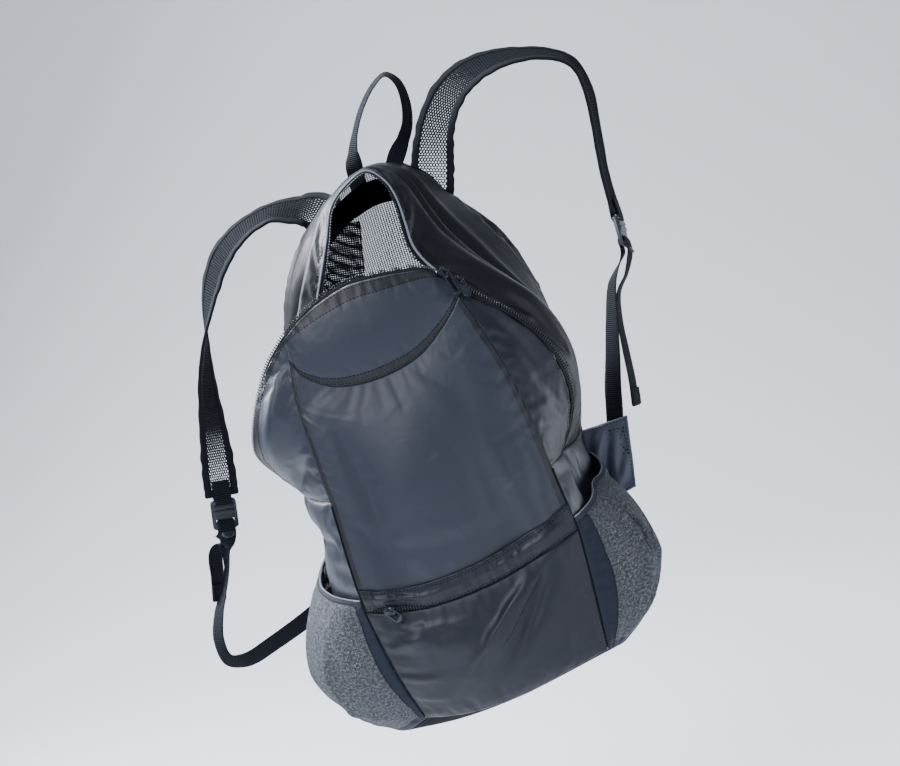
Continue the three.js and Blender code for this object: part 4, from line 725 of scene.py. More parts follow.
def linkMesh(name, points, faces, material, uvs):
    mesh = bpy.data.meshes.new(name)
    mesh.from_pydata(toFrame(points).tolist(), [], [tuple(int(k) for k in face) for face in faces])
    ofLoop = np.empty(len(mesh.loops), int)
    mesh.loops.foreach_get("vertex_index", ofLoop)
    mesh.uv_layers.new(name="cloth").data.foreach_set("uv", (np.asarray(uvs)[ofLoop] / 1000).ravel())
    mesh.materials.append(material)
    mesh.polygons.foreach_set("use_smooth", [True] * len(mesh.polygons))
    mesh.update()
    return addObject(name, mesh)


def settle(piece, *nodes, slot=None, body="bag"):
    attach(piece, body)
    if nodes:
        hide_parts(*nodes)
    return piece


# Twice as many points each way, on smooth curves through the old ones
def refined(grid, times=2):
    for axis in (0, 1):
        lines = np.swapaxes(grid, 0, axis)
        last = len(lines) - 1
        padded = np.concatenate([2 * lines[:1] - lines[1:2], lines, 2 * lines[-1:] - lines[-2:-1]])
        spots = np.arange(last * times + 1) / times
        index = np.minimum(spots.astype(int), last - 1)
        share = (spots - index)[:, None, None]
        before, start, end, after = (padded[index + step] for step in range(4))
        square = (2 * before - 5 * start + 4 * end - after) * share ** 2
        cube = (3 * start - before - 3 * end + after) * share ** 3
        grid = np.swapaxes(start + ((end - before) * share + square + cube) / 2, 0, axis)
    return grid


# Distance of each point from a side of its sheet, and how far along that side it is, in mm
def fromSide(grid, side):
    u, v = shareGrid(grid)
    width, height = gridSize(grid)
    if side in ("left", "right"):
        return (u if side == "left" else 1 - u) * width, v * height
    return (v if side == "bottom" else 1 - v) * height, u * width


# Small gathers that a tight seam draws into thin cloth
gather = {"depth": 0.6, "pitch": 10.0, "reach": 10.0, "hold": 3.0}  # mm


def waves(along, pitch, chance):
    total = np.zeros_like(along)
    for share in (1.0, 1.37, 1.83, 2.41):
        total += np.sin(2 * np.pi * along / (pitch * share) + chance.uniform(0, 2 * np.pi))
    return total / 2


def gathered(grid, sides, seed, pitch):
    chance = np.random.default_rng(seed)
    height = np.zeros(grid.shape[:2])
    for side, share in sides.items():
        away, along = fromSide(grid, side)
        reach = gather["reach"] * np.clip(1 + 0.6 * waves(along, 45, chance), 0.35, 2.2)
        fade = np.exp(-away / reach) * (1 - np.exp(-away / gather["hold"]))
        height += share * gather["depth"] * waves(along, pitch, chance) * fade
    return grid + gridNormals(grid) * height[..., None]


def creased(grid, rows):
    return grid + gridNormals(grid) * foldHeight(rows, *shareGrid(grid))[..., None]


stitchLines = []  # rows of (points, directions out of the cloth) that one tree turns into thread


def stitchAlong(grid, side, distance, ends=(0.01, 0.99), lift=0.45):
    width, height = gridSize(grid)
    steps = np.linspace(*ends, 120)
    share = distance / (width if side in ("left", "right") else height)
    level = np.full_like(steps, 1 - share if side in ("right", "top") else share)
    u, v = (level, steps) if side in ("left", "right") else (steps, level)
    facing = unit(onGrid(gridNormals(grid), u, v))
    stitchLines.append((onGrid(grid, u, v) + facing * lift, facing))


def sheet(name, grid, material, thickness, tape=None):
    rows, columns = grid.shape[:2]
    index = np.arange(rows * columns).reshape(rows, columns)
    u, v = shareGrid(grid)
    width, height = gridSize(grid)
    uvs = np.stack([u * width, v * height], -1).reshape(-1, 2)
    piece = linkMesh(name, grid.reshape(-1, 3), quads(index), material, uvs)
    field = piece.data.attributes.new("tape", "FLOAT", "POINT")
    shares = np.zeros(rows * columns) if tape is None else tape
    field.data.foreach_set("value", shares.ravel().astype(np.float32))
    wall = piece.modifiers.new("wall", "SOLIDIFY")
    wall.thickness = thickness / 1000
    wall.offset = 0
    return piece


# Dark seam tape seen through the cloth: 0.5 on its edge, more inside it
def tapeField(grid, widths):
    fields = [0.5 + (wanted - fromSide(grid, side)[0]) * 0.1 for side, wanted in widths.items()]
    return np.clip(np.max(fields, axis=0), 0, 1) if fields else None


# Each cloth piece: its finish, seam tapes in mm from a side, gathers and rows of stitches
clothLook = {
    "front_panel": {"finish": "nylon", "tape": {"left": 5, "right": 6},
                    "gather": {"left": 0.8, "right": 0.6, "top": 0.15},
                    "crease": [(0.9, 0.45, 0.24, 0.06, 86, 0.035), (0.7, 0.5, 0.34, 0.07, 84, -0.022),
                                             (0.2, 0.6, 0.3, 0.05, 96, -0.02),
                               (0.42, 0.62, 0.3, 0.1, 60, 0.014)]},
    "front_yoke": {"finish": "nylon", "tape": {"bottom": 6.5, "top": 9},
                   "gather": {"top": 0.2, "bottom": 0.2},
                   "stitch": [("bottom", 1.4), ("bottom", 6), ("top", 8.6), ("top", 1.6)]},
    "left_gusset": {"finish": "nylon", "tape": {"left": 9}, "gather": {"left": 0.25, "right": 0.6},
                    "stitch": [("left", 8.6), ("left", 1.6)]},
    "right_gusset": {"finish": "pocketNylon", "tape": {"right": 6}, "gather": {"left": 0.7, "right": 1.0},
                     "stitch": [("right", 6)]},
    "hood": {"finish": "hoodNylon", "tape": {"bottom": 7}, "gather": {"bottom": 0.3, "top": 1.0},
             "stitch": [("bottom", 6.6)]},
    "left_side_panel": {"finish": "nylon", "gather": {"left": 1, "right": 1, "top": 0.2}},
    "right_side_panel": {"finish": "nylon", "gather": {"left": 1, "right": 1, "top": 0.2}},
    "back_panel": {"finish": "backNet"},
    "bottom_panel": {"finish": "baseNylon", "gather": {"bottom": 1, "top": 1.2}},
    "front_pocket": {"finish": "pocketNylon", "gather": {"left": 2, "right": 0.7, "top": 0.25, "bottom": 1},
                     "crease": [(0.56, 0.7, 0.34, 0.035, 52, 0.035), (0.63, 0.66, 0.34, 0.04, 52, -0.03),
                                              (0.2, 0.86, 0.2, 0.03, 172, 0.014)]},
    "front_pocket_band": {"finish": "pocketNylon", "gather": {"top": 1.3, "bottom": 0.7}, "pitch": 5.5,
                          "stitch": [("top", 1.4), ("top", 3.4), ("bottom", 1.6)],
                          "crease": [(0.88, 0.5, 0.5, 0.07, 90, 0.022), (0.13, 0.5, 0.12, 0.2, 30, 0.012)]},
    "side_pocket_left": {"finish": "pocketNet", "tape": {"right": 7, "bottom": 9},
                         "gather": {"left": 1.2, "right": 0.8},
                         "stitch": [("right", 6.4)],
                         "crease": [(0.7, 0.45, 0.4, 0.012, 80, 0.012), (0.84, 0.6, 0.24, 0.012, 98, 0.01),
                                    (0.6, 0.2, 0.22, 0.012, 130, 0.01), (0.8, 0.3, 0.3, 0.01, 62, 0.01)]},
    "side_pocket_right": {"finish": "pocketNet", "tape": {"left": 13, "bottom": 9},
                          "gather": {"left": 0.8, "right": 1.2},
                          "stitch": [("left", 12.2)],
                          "crease": [(0.26, 0.55, 0.42, 0.014, 86, 0.03), (0.4, 0.6, 0.3, 0.014, 104, 0.016),
                                     (0.34, 0.25, 0.24, 0.012, 60, 0.014),
                                     (0.5, 0.45, 0.3, 0.014, 76, 0.014)]},
}
clothThickness = {"pocketNet": 0.5, "backNet": 0.8}  # mm, 0.7 for the others
clothSlots = {"backNet": "back_net", "pocketNet": "pocket_net"}
sewn = {}
for number, (name, look) in enumerate(clothLook.items()):
    grid = creased(refined(cloth[name]), look.get("crease", []))
    grid = gathered(grid, look.get("gather", {}), number, look.get("pitch", gather["pitch"]))
    sewn[name] = grid
    piece = sheet(f"{name}_cloth", grid, finishes[look["finish"]], clothThickness.get(look["finish"], 0.7),
                  tapeField(grid, look.get("tape", {})))
    settle(piece, name, slot=clothSlots.get(look["finish"], "ripstop_nylon"))
    for side, distance in look.get("stitch", []):
        stitchAlong(grid, side, distance)
print("cloth pieces made")


# Rounded tape swept along frames: points, directions across it and out of its face
def sweep(name, points, across, facing, near, far, thickness, material, ribs=None, level=0):
    count = len(points)
    turns = np.linspace(0, 2 * np.pi, 12, endpoint=False) + np.pi / 12
    near, far = (np.broadcast_to(np.asarray(edge, float), count) for edge in (near, far))
    middle, half = (near + far) / 2, (far - near) / 2
    sideways = np.sign(np.cos(turns)) * np.abs(np.cos(turns)) ** 0.35
    outwards = np.sign(np.sin(turns)) * np.abs(np.sin(turns)) ** 0.7
    thick = np.full(count, thickness / 2)
    steps = np.concatenate([[0], np.cumsum(np.linalg.norm(np.diff(points, axis=0), axis=1))])
    if ribs:
        thick = thick * (1 + ribs["depth"] * np.cos(2 * np.pi * steps / ribs["pitch"]))
    ring = points[:, None] + across[:, None] * (middle[:, None] + half[:, None] * sideways)[..., None]
    ring = ring + facing[:, None] * (thick[:, None] * outwards)[..., None]
    sides = len(turns)
    index = np.arange(count * sides).reshape(count, sides)
    following = np.roll(index, -1, axis=1)
    faces = np.stack([index[:-1], index[1:], following[1:], following[:-1]], axis=-1).reshape(-1, 4).tolist()
    faces += [index[0].tolist(), index[-1][::-1].tolist()]
    around = np.cumsum(np.abs(np.diff(sideways, append=sideways[0])))[None] * half[:, None]
    uvs = np.stack([around, np.broadcast_to(steps[:, None], (count, sides))], -1).reshape(-1, 2)
    piece = linkMesh(name, ring.reshape(-1, 3), faces, material, uvs)
    if level:
        finer = piece.modifiers.new("finer", "SUBSURF")
        finer.levels = level
        finer.render_levels = level
    return piece


def tangentAt(points, shares):
    shares = np.asarray(shares, float)
    return unit(curveAt(points, np.minimum(shares + 1e-4, 1)) - curveAt(points, np.maximum(shares - 1e-4, 0)))


def acrossFor(tangent, turn):
    flat = unit(np.cross(tangent, (0, -1, 0)))
    deep = unit(np.cross(flat, tangent))
    return flat * math.cos(math.radians(turn)) + deep * math.sin(math.radians(turn))


# Frames along a ribbon's rows of (point, turn or direction across)
def ribbonFrames(rows, step, floor=-1e9):
    points = np.array([point for point, _ in rows])
    last = len(points) - 1
    tangents = tangentAt(points, np.arange(last + 1) / last)
    acrossRows = np.array([acrossFor(tangent, turn) if np.isscalar(turn) else turn
                           for tangent, (_, turn) in zip(tangents, rows)])
    shares = []
    for index in range(last):
        steps = max(1, math.ceil(np.linalg.norm(points[index + 1] - points[index]) / step))
        shares += [(index + number / steps) / last for number in range(steps)]
    shares = np.array(shares + [1.0])
    spots, tangent = curveAt(points, shares), tangentAt(points, shares)
    flat = spots[:, 1] < floor + 0.02
    spots[flat, 1] = floor
    tangent[flat, 1] = 0
    tangent = unit(tangent)
    index = np.minimum((shares * last + 1e-9).astype(int), last - 1)
    weight = (shares * last - index)[:, None]
    across = acrossRows[index] * (1 - weight) + acrossRows[index + 1] * weight
    across = unit(across - tangent * np.sum(across * tangent, axis=1, keepdims=True))
    return {"points": spots, "across": across, "facing": np.cross(across, tangent), "tangent": tangent,
            "shares": shares}


seats = {"panel": 0.6, "wing": 2.1, "gap": 0.3}  # mm behind the back panel's middle, and the gap on it


def seatHeight(seat, thickness):
    return seats[seat] + seats["gap"] + thickness / 2


# Rows are (x, depth or the seat they lie on, z, turn)
def placedRows(rows, thickness):
    placed = []
    for x, depth, z, turn in rows:
        seat = depth if isinstance(depth, str) else None
        point = place([(x, 0 if seat else depth, z)])[0]
        if seat:
            point[1] = seatHeight(seat, thickness)
        placed.append((point, turn))
    return placed


strap = {
    "width": 38, "taper": 0.8, "thickness": 1.5, "bindingWidth": 4.5, "bindingThickness": 3,
    "bindingLap": 2.2, "endHem": 6,
    "netCells": 13, "netPitch": 2.6, "netHole": 0.66,
    "right": [(0.36, "panel", 0.905, 0), (0.4, "panel", 0.94, 0), (0.44, -0.028, 0.972, 4),
              (0.492, -0.045, 1.012, 20),
              (0.568, -0.067, 1.054, 30), (0.708, -0.1, 1.098, 36), (0.88, -0.13, 1.123, 46),
              (1.093, -0.165, 1.132, 60),
              (1.312, -0.211, 1.126, 71), (1.506, -0.268, 1.109, 75), (1.634, -0.31, 1.081, 75),
              (1.68, -0.322, 1.03, 75), (1.66, -0.305, 0.955, 77), (1.624, -0.265, 0.871, 77),
              (1.617, -0.2, 0.786, 75)],
    "left": [(-0.31, "panel", 0.906, 0), (-0.35, "panel", 0.924, 0), (-0.4, -0.04, 0.942, -6),
             (-0.49, -0.085, 0.961, -34),
             (-0.61, -0.105, 0.97, -54), (-0.783, -0.12, 0.979, -66), (-0.965, -0.127, 0.97, -64),
             (-1.12, -0.135, 0.951, -58), (-1.26, -0.143, 0.922, -53), (-1.383, -0.155, 0.878, -57),
             (-1.475, -0.163, 0.83, -70), (-1.558, -0.169, 0.772, -90), (-1.626, -0.155, 0.705, -106),
             (-1.671, -0.141, 0.64, -120), (-1.712, -0.125, 0.573, -138), (-1.742, -0.118, 0.528, -153),
             (-1.77, -0.113, 0.485, -156)],
}
webbing = {
    "width": 15, "thickness": 1.4, "step": 0.42, "ribs": {"pitch": 1.7, "depth": -0.3},
    "tailFold": 14, "loopLeg": 13, "lead": 4, "gap": 0.3, "loopReach": 2.5,
    "haul": [(-0.11, "panel", 0.955, 0), (-0.1, "panel", 1.014, 0), (-0.08, -0.036, 1.042, 52),
             (-0.028, -0.04, 1.074, 68),
             (0.077, -0.042, 1.118, 70), (0.21, -0.042, 1.153, 72), (0.304, -0.042, 1.164, 73),
             (0.372, -0.042, 1.146, 68),
             (0.392, -0.04, 1.11, 62), (0.36, -0.034, 1.066, 56), (0.29, -0.032, 1.036, 46),
             (0.2, "panel", 1.006, 0),
             (0.1, "panel", 0.955, 0)],
    "right": [(1.155, "wing", 0.345, 0), (1.17, "wing", 0.4, 0), (1.2, -0.03, 0.435, 3),
              (1.235, -0.04, 0.475, 18),
              (1.29, -0.05, 0.524, 32), (1.366, -0.08, 0.597, 48), (1.445, -0.125, 0.662, 66)],
    "rightTail": [(1.57, -0.2, 0.672, 76), (1.475, -0.2, 0.64, 74), (1.425, -0.195, 0.589, 70),
                  (1.403, -0.19, 0.53, 66),
                  (1.385, -0.18, 0.471, 64), (1.36, -0.175, 0.425, 62)],
    "left": [(-1.06, "wing", 0.258, 0), (-1.2, "wing", 0.238, 0), (-1.377, -0.035, 0.215, 8),
             (-1.709, -0.063, 0.182, 16),
             (-1.966, -0.092, 0.162, 22), (-2.095, -0.099, 0.171, 30), (-2.121, -0.099, 0.214, 40),
             (-2.063, -0.099, 0.262, 50), (-1.969, -0.099, 0.306, 66), (-1.901, -0.1, 0.345, 66),
             (-1.86, -0.1, 0.385, 50)],
    "leftTail": [(-1.955, -0.155, 0.378, 40), (-2, -0.17, 0.335, 50), (-2.045, -0.175, 0.288, 52)],
}
buckle = {"width": 23, "length": 26, "thickness": 3.4, "bar": 3, "side": 3, "toStrap": 3.5}


def newTree(name, sockets):
    tree = bpy.data.node_groups.new(name, "GeometryNodeTree")
    tree.interface.new_socket("Line", in_out="INPUT", socket_type="NodeSocketGeometry")
    for socketName, kind in sockets.items():
        tree.interface.new_socket(socketName, in_out="INPUT", socket_type=f"NodeSocket{kind}")
    tree.interface.new_socket("Geometry", in_out="OUTPUT", socket_type="NodeSocketGeometry")
    return tree, addNode(tree, "NodeGroupInput")


# Mesh of open lines, given as pairs of their points and the directions that the points carry
def lineMesh(name, lines, field):
    points, directions = (np.vstack([line[part] for line in lines]) for part in (0, 1))
    starts = np.cumsum([0] + [len(line[0]) for line in lines]).tolist()
    pairs = [(k, k + 1) for first, last in zip(starts[:-1], starts[1:]) for k in range(first, last - 1)]
    mesh = bpy.data.meshes.new(name)
    mesh.from_pydata(toFrame(points).tolist(), pairs, [])
    carried = mesh.attributes.new(field, "FLOAT_VECTOR", "POINT")
    carried.data.foreach_set("vector", directions.astype(np.float32).ravel())
    return mesh


def grow(name, tree, mesh, values):
    piece = addObject(name, mesh)
    modifier = piece.modifiers.new("grow", "NODES")
    modifier.node_group = tree
    for item in tree.interface.items_tree:
        if item.name in values:
            modifier[item.identifier] = values[item.name]
    evaluated = piece.evaluated_get(bpy.context.evaluated_depsgraph_get())
    grown = bpy.data.meshes.new_from_object(evaluated)
    piece.modifiers.clear()
    piece.data = grown
    return piece


# Last nodes of a tree
def addEnd(tree, geometry, material):
    whole = addNode(tree, "GeometryNodeRealizeInstances", {"Geometry": geometry})
    coloured = addNode(tree, "GeometryNodeSetMaterial", {"Geometry": whole.outputs[0], "Material": material})
    addNode(tree, "NodeGroupOutput", {"Geometry": coloured.outputs[0]})


# Net of hexagons along a line that carries the direction across it: a dual mesh of triangles, each face holed
def hexNetTree():
    tree, given = newTree("hexNet", {"Cells": "Int", "Pitch": "Float", "Half Width": "Float", "Hole": "Float",
                                     "Material": "Material"})
    pitch = given.outputs["Pitch"]
    curve = addNode(tree, "GeometryNodeMeshToCurve", {"Mesh": given.outputs["Line"]}).outputs["Curve"]
    length = addNode(tree, "GeometryNodeCurveLength", {"Curve": curve}).outputs["Length"]
    rowPitch = maths(tree, "MULTIPLY", pitch, math.sqrt(3) / 2)
    rows = maths(tree, "ROUND", maths(tree, "DIVIDE", length, rowPitch))
    grid = addNode(tree, "GeometryNodeMeshGrid", {
        "Size X": 2.0, "Size Y": 1.0, "Vertices X": given.outputs["Cells"],
        "Vertices Y": maths(tree, "ADD", rows, 1.0)})
    position = addNode(tree, "GeometryNodeInputPosition")
    parts = addNode(tree, "ShaderNodeSeparateXYZ", {"Vector": position.outputs[0]})
    along = maths(tree, "ADD", parts.outputs["Y"], 0.5)
    rowNumber = maths(tree, "ROUND", maths(tree, "MULTIPLY", along, rows))
    odd = maths(tree, "MODULO", rowNumber, 2.0)
    shift = maths(tree, "MULTIPLY", maths(tree, "MULTIPLY", odd, pitch), 0.5)
    sideways = maths(tree, "MULTIPLY", parts.outputs["X"], given.outputs["Half Width"])
    flat = addNode(tree, "ShaderNodeCombineXYZ", {"X": maths(tree, "ADD", sideways, shift),
                                                  "Y": maths(tree, "MULTIPLY", along, length)})
    laid = addNode(tree, "GeometryNodeSetPosition", {"Geometry": grid.outputs["Mesh"],
                                                     "Position": flat.outputs[0]})
    triangles = addNode(tree, "GeometryNodeTriangulate", {"Mesh": laid.outputs[0]},
                        quad_method="SHORTEST_DIAGONAL")
    cellsOf = addNode(tree, "GeometryNodeDualMesh", {"Mesh": triangles.outputs[0]})
    ringed = addNode(tree, "GeometryNodeExtrudeMesh", {"Mesh": cellsOf.outputs[0], "Offset Scale": 0.0,
                                                       "Individual": True}, mode="FACES")
    drawn = addNode(tree, "GeometryNodeScaleElements", {
        "Geometry": ringed.outputs["Mesh"], "Selection": ringed.outputs["Top"],
        "Scale": given.outputs["Hole"]})
    holed = addNode(tree, "GeometryNodeDeleteGeometry", {"Geometry": drawn.outputs[0],
                                                         "Selection": ringed.outputs["Top"]}, domain="FACE")
    across = addNode(tree, "GeometryNodeInputNamedAttribute", {"Name": "across"}, data_type="FLOAT_VECTOR")
    sampled = addNode(tree, "GeometryNodeSampleCurve", {
        "Curves": curve, "Value": across.outputs[0], "Length": parts.outputs["Y"]},
        mode="LENGTH", data_type="FLOAT_VECTOR", use_all_curves=False)
    reach = scaled(tree, sampled.outputs[0], parts.outputs["X"])
    spot = addNode(tree, "ShaderNodeVectorMath", {0: sampled.outputs["Position"], 1: reach}, operation="ADD")
    bent = addNode(tree, "GeometryNodeSetPosition", {"Geometry": holed.outputs[0],
                                                     "Position": spot.outputs[0]})
    addEnd(tree, bent.outputs[0], given.outputs["Material"])
    return tree


# Row of small rounded beads along a line that carries the direction out of its face: stitches and zip teeth
def beadRowTree():
    tree, given = newTree("beadRow", {"Pitch": "Float", "Size": "Vector", "Lift": "Float", "Detail": "Int",
                                      "Material": "Material"})
    curve = addNode(tree, "GeometryNodeMeshToCurve", {"Mesh": given.outputs["Line"]})
    even = addNode(tree, "GeometryNodeResampleCurve", {"Curve": curve.outputs[0],
                                                       "Length": given.outputs["Pitch"]}, mode="LENGTH")
    facing = addNode(tree, "GeometryNodeInputNamedAttribute", {"Name": "facing"}, data_type="FLOAT_VECTOR")
    tangent = addNode(tree, "GeometryNodeInputTangent")
    lifted = addNode(tree, "GeometryNodeSetPosition", {
        "Geometry": even.outputs[0], "Offset": scaled(tree, facing.outputs[0], given.outputs["Lift"])})
    turned = addNode(tree, "FunctionNodeAxesToRotation", {
        "Primary Axis": facing.outputs[0], "Secondary Axis": tangent.outputs[0]},
        primary_axis="Z", secondary_axis="X")
    bead = addNode(tree, "GeometryNodeMeshIcoSphere", {"Radius": 1.0,
                                                       "Subdivisions": given.outputs["Detail"]})
    smooth = addNode(tree, "GeometryNodeSetShadeSmooth", {0: bead.outputs[0]})
    copies = addNode(tree, "GeometryNodeInstanceOnPoints", {
        "Points": lifted.outputs[0], "Instance": smooth.outputs[0], "Rotation": turned.outputs[0],
        "Scale": given.outputs["Size"]})
    addEnd(tree, copies.outputs[0], given.outputs["Material"])
    return tree


hexNet, beadRow = hexNetTree(), beadRowTree()


strapEnds = {}


def addStrap(side):
    rows = placedRows(strap[side], strap["bindingThickness"])
    floor = seatHeight("panel", strap["bindingThickness"])
    frames = ribbonFrames(rows, 3, floor)
    half = strap["width"] / 2 * (1 + (strap["taper"] - 1) * frames["shares"] ** 2)
    netHalf = half - strap["bindingWidth"]
    across = frames["across"] * (netHalf / netHalf[0])[:, None]
    line = lineMesh(f"strap_line_{side}", [(frames["points"], across)], "across")
    net = grow(f"strap_{side}_net", hexNet, line, {
        "Cells": strap["netCells"], "Pitch": strap["netPitch"] / 1000,
        "Half Width": (netHalf[0] + 1.5) / 1000,
        "Hole": strap["netHole"], "Material": finishes["strapYarn"]})
    wall = net.modifiers.new("wall", "SOLIDIFY")
    wall.thickness, wall.offset = strap["thickness"] / 1000, 0
    settle(net, f"strap_net_{side}", slot="strap_net")
    wave = 0.5 * np.sin(frames["shares"] * 150) + 0.35 * np.sin(frames["shares"] * 93 + 1)
    for edge, sign in (("inner", -1), ("outer", 1)):
        inner, outer = sign * (netHalf - strap["bindingLap"]), sign * (half + wave)
        near, far = (inner, outer) if sign > 0 else (outer, inner)
        piece = sweep(f"strap_{side}_binding_{edge}", frames["points"], frames["across"], frames["facing"],
                      near, far,
                      strap["bindingThickness"], finishes["binding"], level=1)
        settle(piece, f"strap_binding_{side}_{edge}", slot="binding_tape")
    end = strapEnds[side] = {key: value[-1] for key, value in frames.items()}
    reach = np.linspace(-half[-1] - 0.4, half[-1] + 0.4, 13)
    points = end["points"] + end["across"] * reach[:, None]
    hemAcross, hemFacing = (np.broadcast_to(end[key], points.shape) for key in ("tangent", "facing"))
    hem = sweep(f"strap_{side}_end_hem", points, hemAcross, hemFacing, -strap["endHem"], 0.9,
                strap["bindingThickness"] + 0.5, finishes["binding"], level=1)
    settle(hem, slot="binding_tape")


def addWebbing(name, rows, floor, node):
    frames = ribbonFrames(rows, webbing["step"], floor)
    half = webbing["width"] / 2
    piece = sweep(name, frames["points"], frames["across"], frames["facing"], -half, half,
                  webbing["thickness"],
                  finishes["webbing"], ribs=webbing["ribs"])
    return settle(piece, node, slot="webbing")


def aroundBar(axes, barHeight, side, legEnd, legReach=None):
    reach = math.hypot(buckle["bar"], buckle["thickness"]) / 2 + webbing["gap"] + webbing["thickness"] / 2
    turns = np.radians([0, 45, 90, 135, 180])
    arc = [(-reach * math.cos(turn), barHeight + side * reach * math.sin(turn)) for turn in turns]
    near = legReach or reach
    local = [(-near, legEnd)] + arc + [(near, legEnd)]
    return [(axes["centre"] + axes["face"] * y + axes["up"] * z, axes["across"]) for y, z in local]


def foldRows(tail, turn):
    end = tail[-1][0]
    down = unit(end - tail[-2][0])
    across = acrossFor(down, turn)
    face = np.cross(across, down)
    step = webbing["thickness"] + webbing["gap"]
    shifts = [(0.3, 0.06), (0.5, 0.5), (0.3, 0.94), (-0.2, 1), (-webbing["tailFold"] / step, 1)]
    return [(end + down * along * step + face * out * step, across) for along, out in shifts]


def buckleAxes(side, outwards):
    end = strapEnds[side]
    up = -end["tangent"]
    face = end["facing"] * (1 if np.sign(end["facing"][0]) == outwards else -1)
    centre = end["points"] - up * (buckle["toStrap"] + buckle["length"] / 2)
    return {"up": up, "face": face, "across": np.cross(face, up), "centre": centre}


def addBuckleWebbing(side, outwards):
    axes = buckleAxes(side, outwards)
    topBar = (buckle["length"] - buckle["bar"]) / 2
    lowerBar = 1.5 * buckle["bar"] - buckle["length"] / 2
    foot = buckle["length"] / 2 + buckle["toStrap"]
    loopRows = aroundBar(axes, topBar, -1, foot + webbing["loopLeg"], webbing["loopReach"])
    addWebbing(f"buckle_loop_{side}_webbing", loopRows, -1e9, f"buckle_loop_{side}")
    turnRows = aroundBar(axes, lowerBar, 1, -buckle["length"] / 2 - webbing["lead"])
    tail = placedRows(webbing[f"{side}Tail"], webbing["thickness"])
    rows = placedRows(webbing[side], webbing["thickness"]) + turnRows + tail
    rows += foldRows(tail, webbing[f"{side}Tail"][-1][3])
    addWebbing(f"webbing_{side}_ribbed", rows, seatHeight("wing", webbing["thickness"]), f"webbing_{side}")


for side in ("right", "left"):
    addStrap(side)
addWebbing("haul_loop_ribbed", placedRows(webbing["haul"], webbing["thickness"]),
           seatHeight("panel", webbing["thickness"]), "haul_loop")
addBuckleWebbing("right", 1)
addBuckleWebbing("left", -1)
print("straps and webbing made")


# Directions evened out along their line
def evened(rows, reach=8):
    padded = unit(np.concatenate([rows[:1]] * reach + [unit(rows)] + [rows[-1:]] * reach))
    return unit(sum(padded[shift:shift + len(rows)] for shift in range(2 * reach + 1)))


# Directions with what they share with others taken out
def squared(rows, others):
    return unit(rows - others * np.sum(rows * others, axis=1, keepdims=True))


# Spots along a side of a sewn sheet: its edge, the way out of the sheet and the way out of its face
def edgeSpots(grid, side):
    lines, normals = grid, gridNormals(grid)
    if side in ("left", "right"):
        lines, normals = (np.swapaxes(rows, 0, 1) for rows in (lines, normals))
    if side in ("right", "top"):
        lines, normals = lines[::-1], normals[::-1]
    out, facing = evened(lines[0] - lines[6]), evened(normals[0])
    return {"points": lines[0], "out": out, "facing": squared(facing, out)}


def someSpots(spots, start, stop):
    return {key: value[start:stop] for key, value in spots.items()}


def joinedSpots(first, second):
    joined = {key: np.vstack([first[key], second[key][1:]]) for key in first}
    return {"points": joined["points"], "out": evened(joined["out"]), "facing": evened(joined["facing"])}


def edgeTape(name, spots, near, far, sink, thickness, finish, *nodes, slot="binding_tape"):
    points = spots["points"] - spots["facing"] * sink
    piece = sweep(name, points, spots["out"], spots["facing"], near, far, thickness, finishes[finish])
    return settle(piece, *nodes, slot=slot)


# Coil zip: woven tapes sewn under the cloth, their coil teeth standing out past the edges
zipCut = {
    "near": -5.5, "far": 3.2, "sink": 1.5, "tapeThickness": 1.0,
    "toothPitch": 2.3, "toothReach": 4.4, "tooth": (0.6, 1.5, 0.7),  # half sizes along, across and up
    "closed": {"half": 4.4, "sink": -1.1, "tapeThickness": 1.0, "toothReach": 0.75, "toothSink": -1.9},
    "pocket": {"half": 2.6, "sink": 1.5, "tapeThickness": 0.8, "toothReach": 0.6, "toothSink": 0.8},
}
toothLines = []


def teethAlong(spots, reach, sink):
    points = spots["points"] + spots["out"] * reach - spots["facing"] * sink
    toothLines.append((points, spots["facing"]))


def addShutZip(name, spots, cut, node):
    edgeTape(name, spots, -cut["half"], cut["half"], cut["sink"], cut["tapeThickness"], "zipTape", node,
             slot="coil_zip")
    for direction in (-1, 1):
        teethAlong(spots, direction * cut["toothReach"], cut["toothSink"])


flapSpots = joinedSpots(edgeSpots(sewn["left_gusset"], "left"), edgeSpots(sewn["front_yoke"], "top"))
hoodSpots = edgeSpots(sewn["hood"], "bottom")
mouthLength = 2 * (cells["upper"] + cells["across"])
mouthSpots = someSpots(hoodSpots, 4, mouthLength - 3)
for name, spots, node in (("zip_tape_front", someSpots(flapSpots, 3, -3), "zip_half_front"),
                          ("zip_tape_hood", mouthSpots, "zip_half_hood")):
    edgeTape(name, spots, zipCut["near"], zipCut["far"], zipCut["sink"], zipCut["tapeThickness"],
             "zipTape", node, slot="coil_zip")
    teethAlong(spots, zipCut["toothReach"], zipCut["sink"])

gussetSeam = edgeSpots(sewn["right_gusset"], "right")
hoodSeam = {key: value[mouthLength:][::-1] for key, value in hoodSpots.items()}
seamSpots = {
    "points": gussetSeam["points"],
    "out": unit(gussetSeam["out"] - hoodSeam["out"]),
    "facing": unit(gussetSeam["facing"] + hoodSeam["facing"]),
}
seamSpots["facing"] = squared(seamSpots["facing"], seamSpots["out"])
closedSpots = someSpots(seamSpots, 2, -2)
addShutZip("zip_tape_closed", closedSpots, zipCut["closed"], "zip_closed")

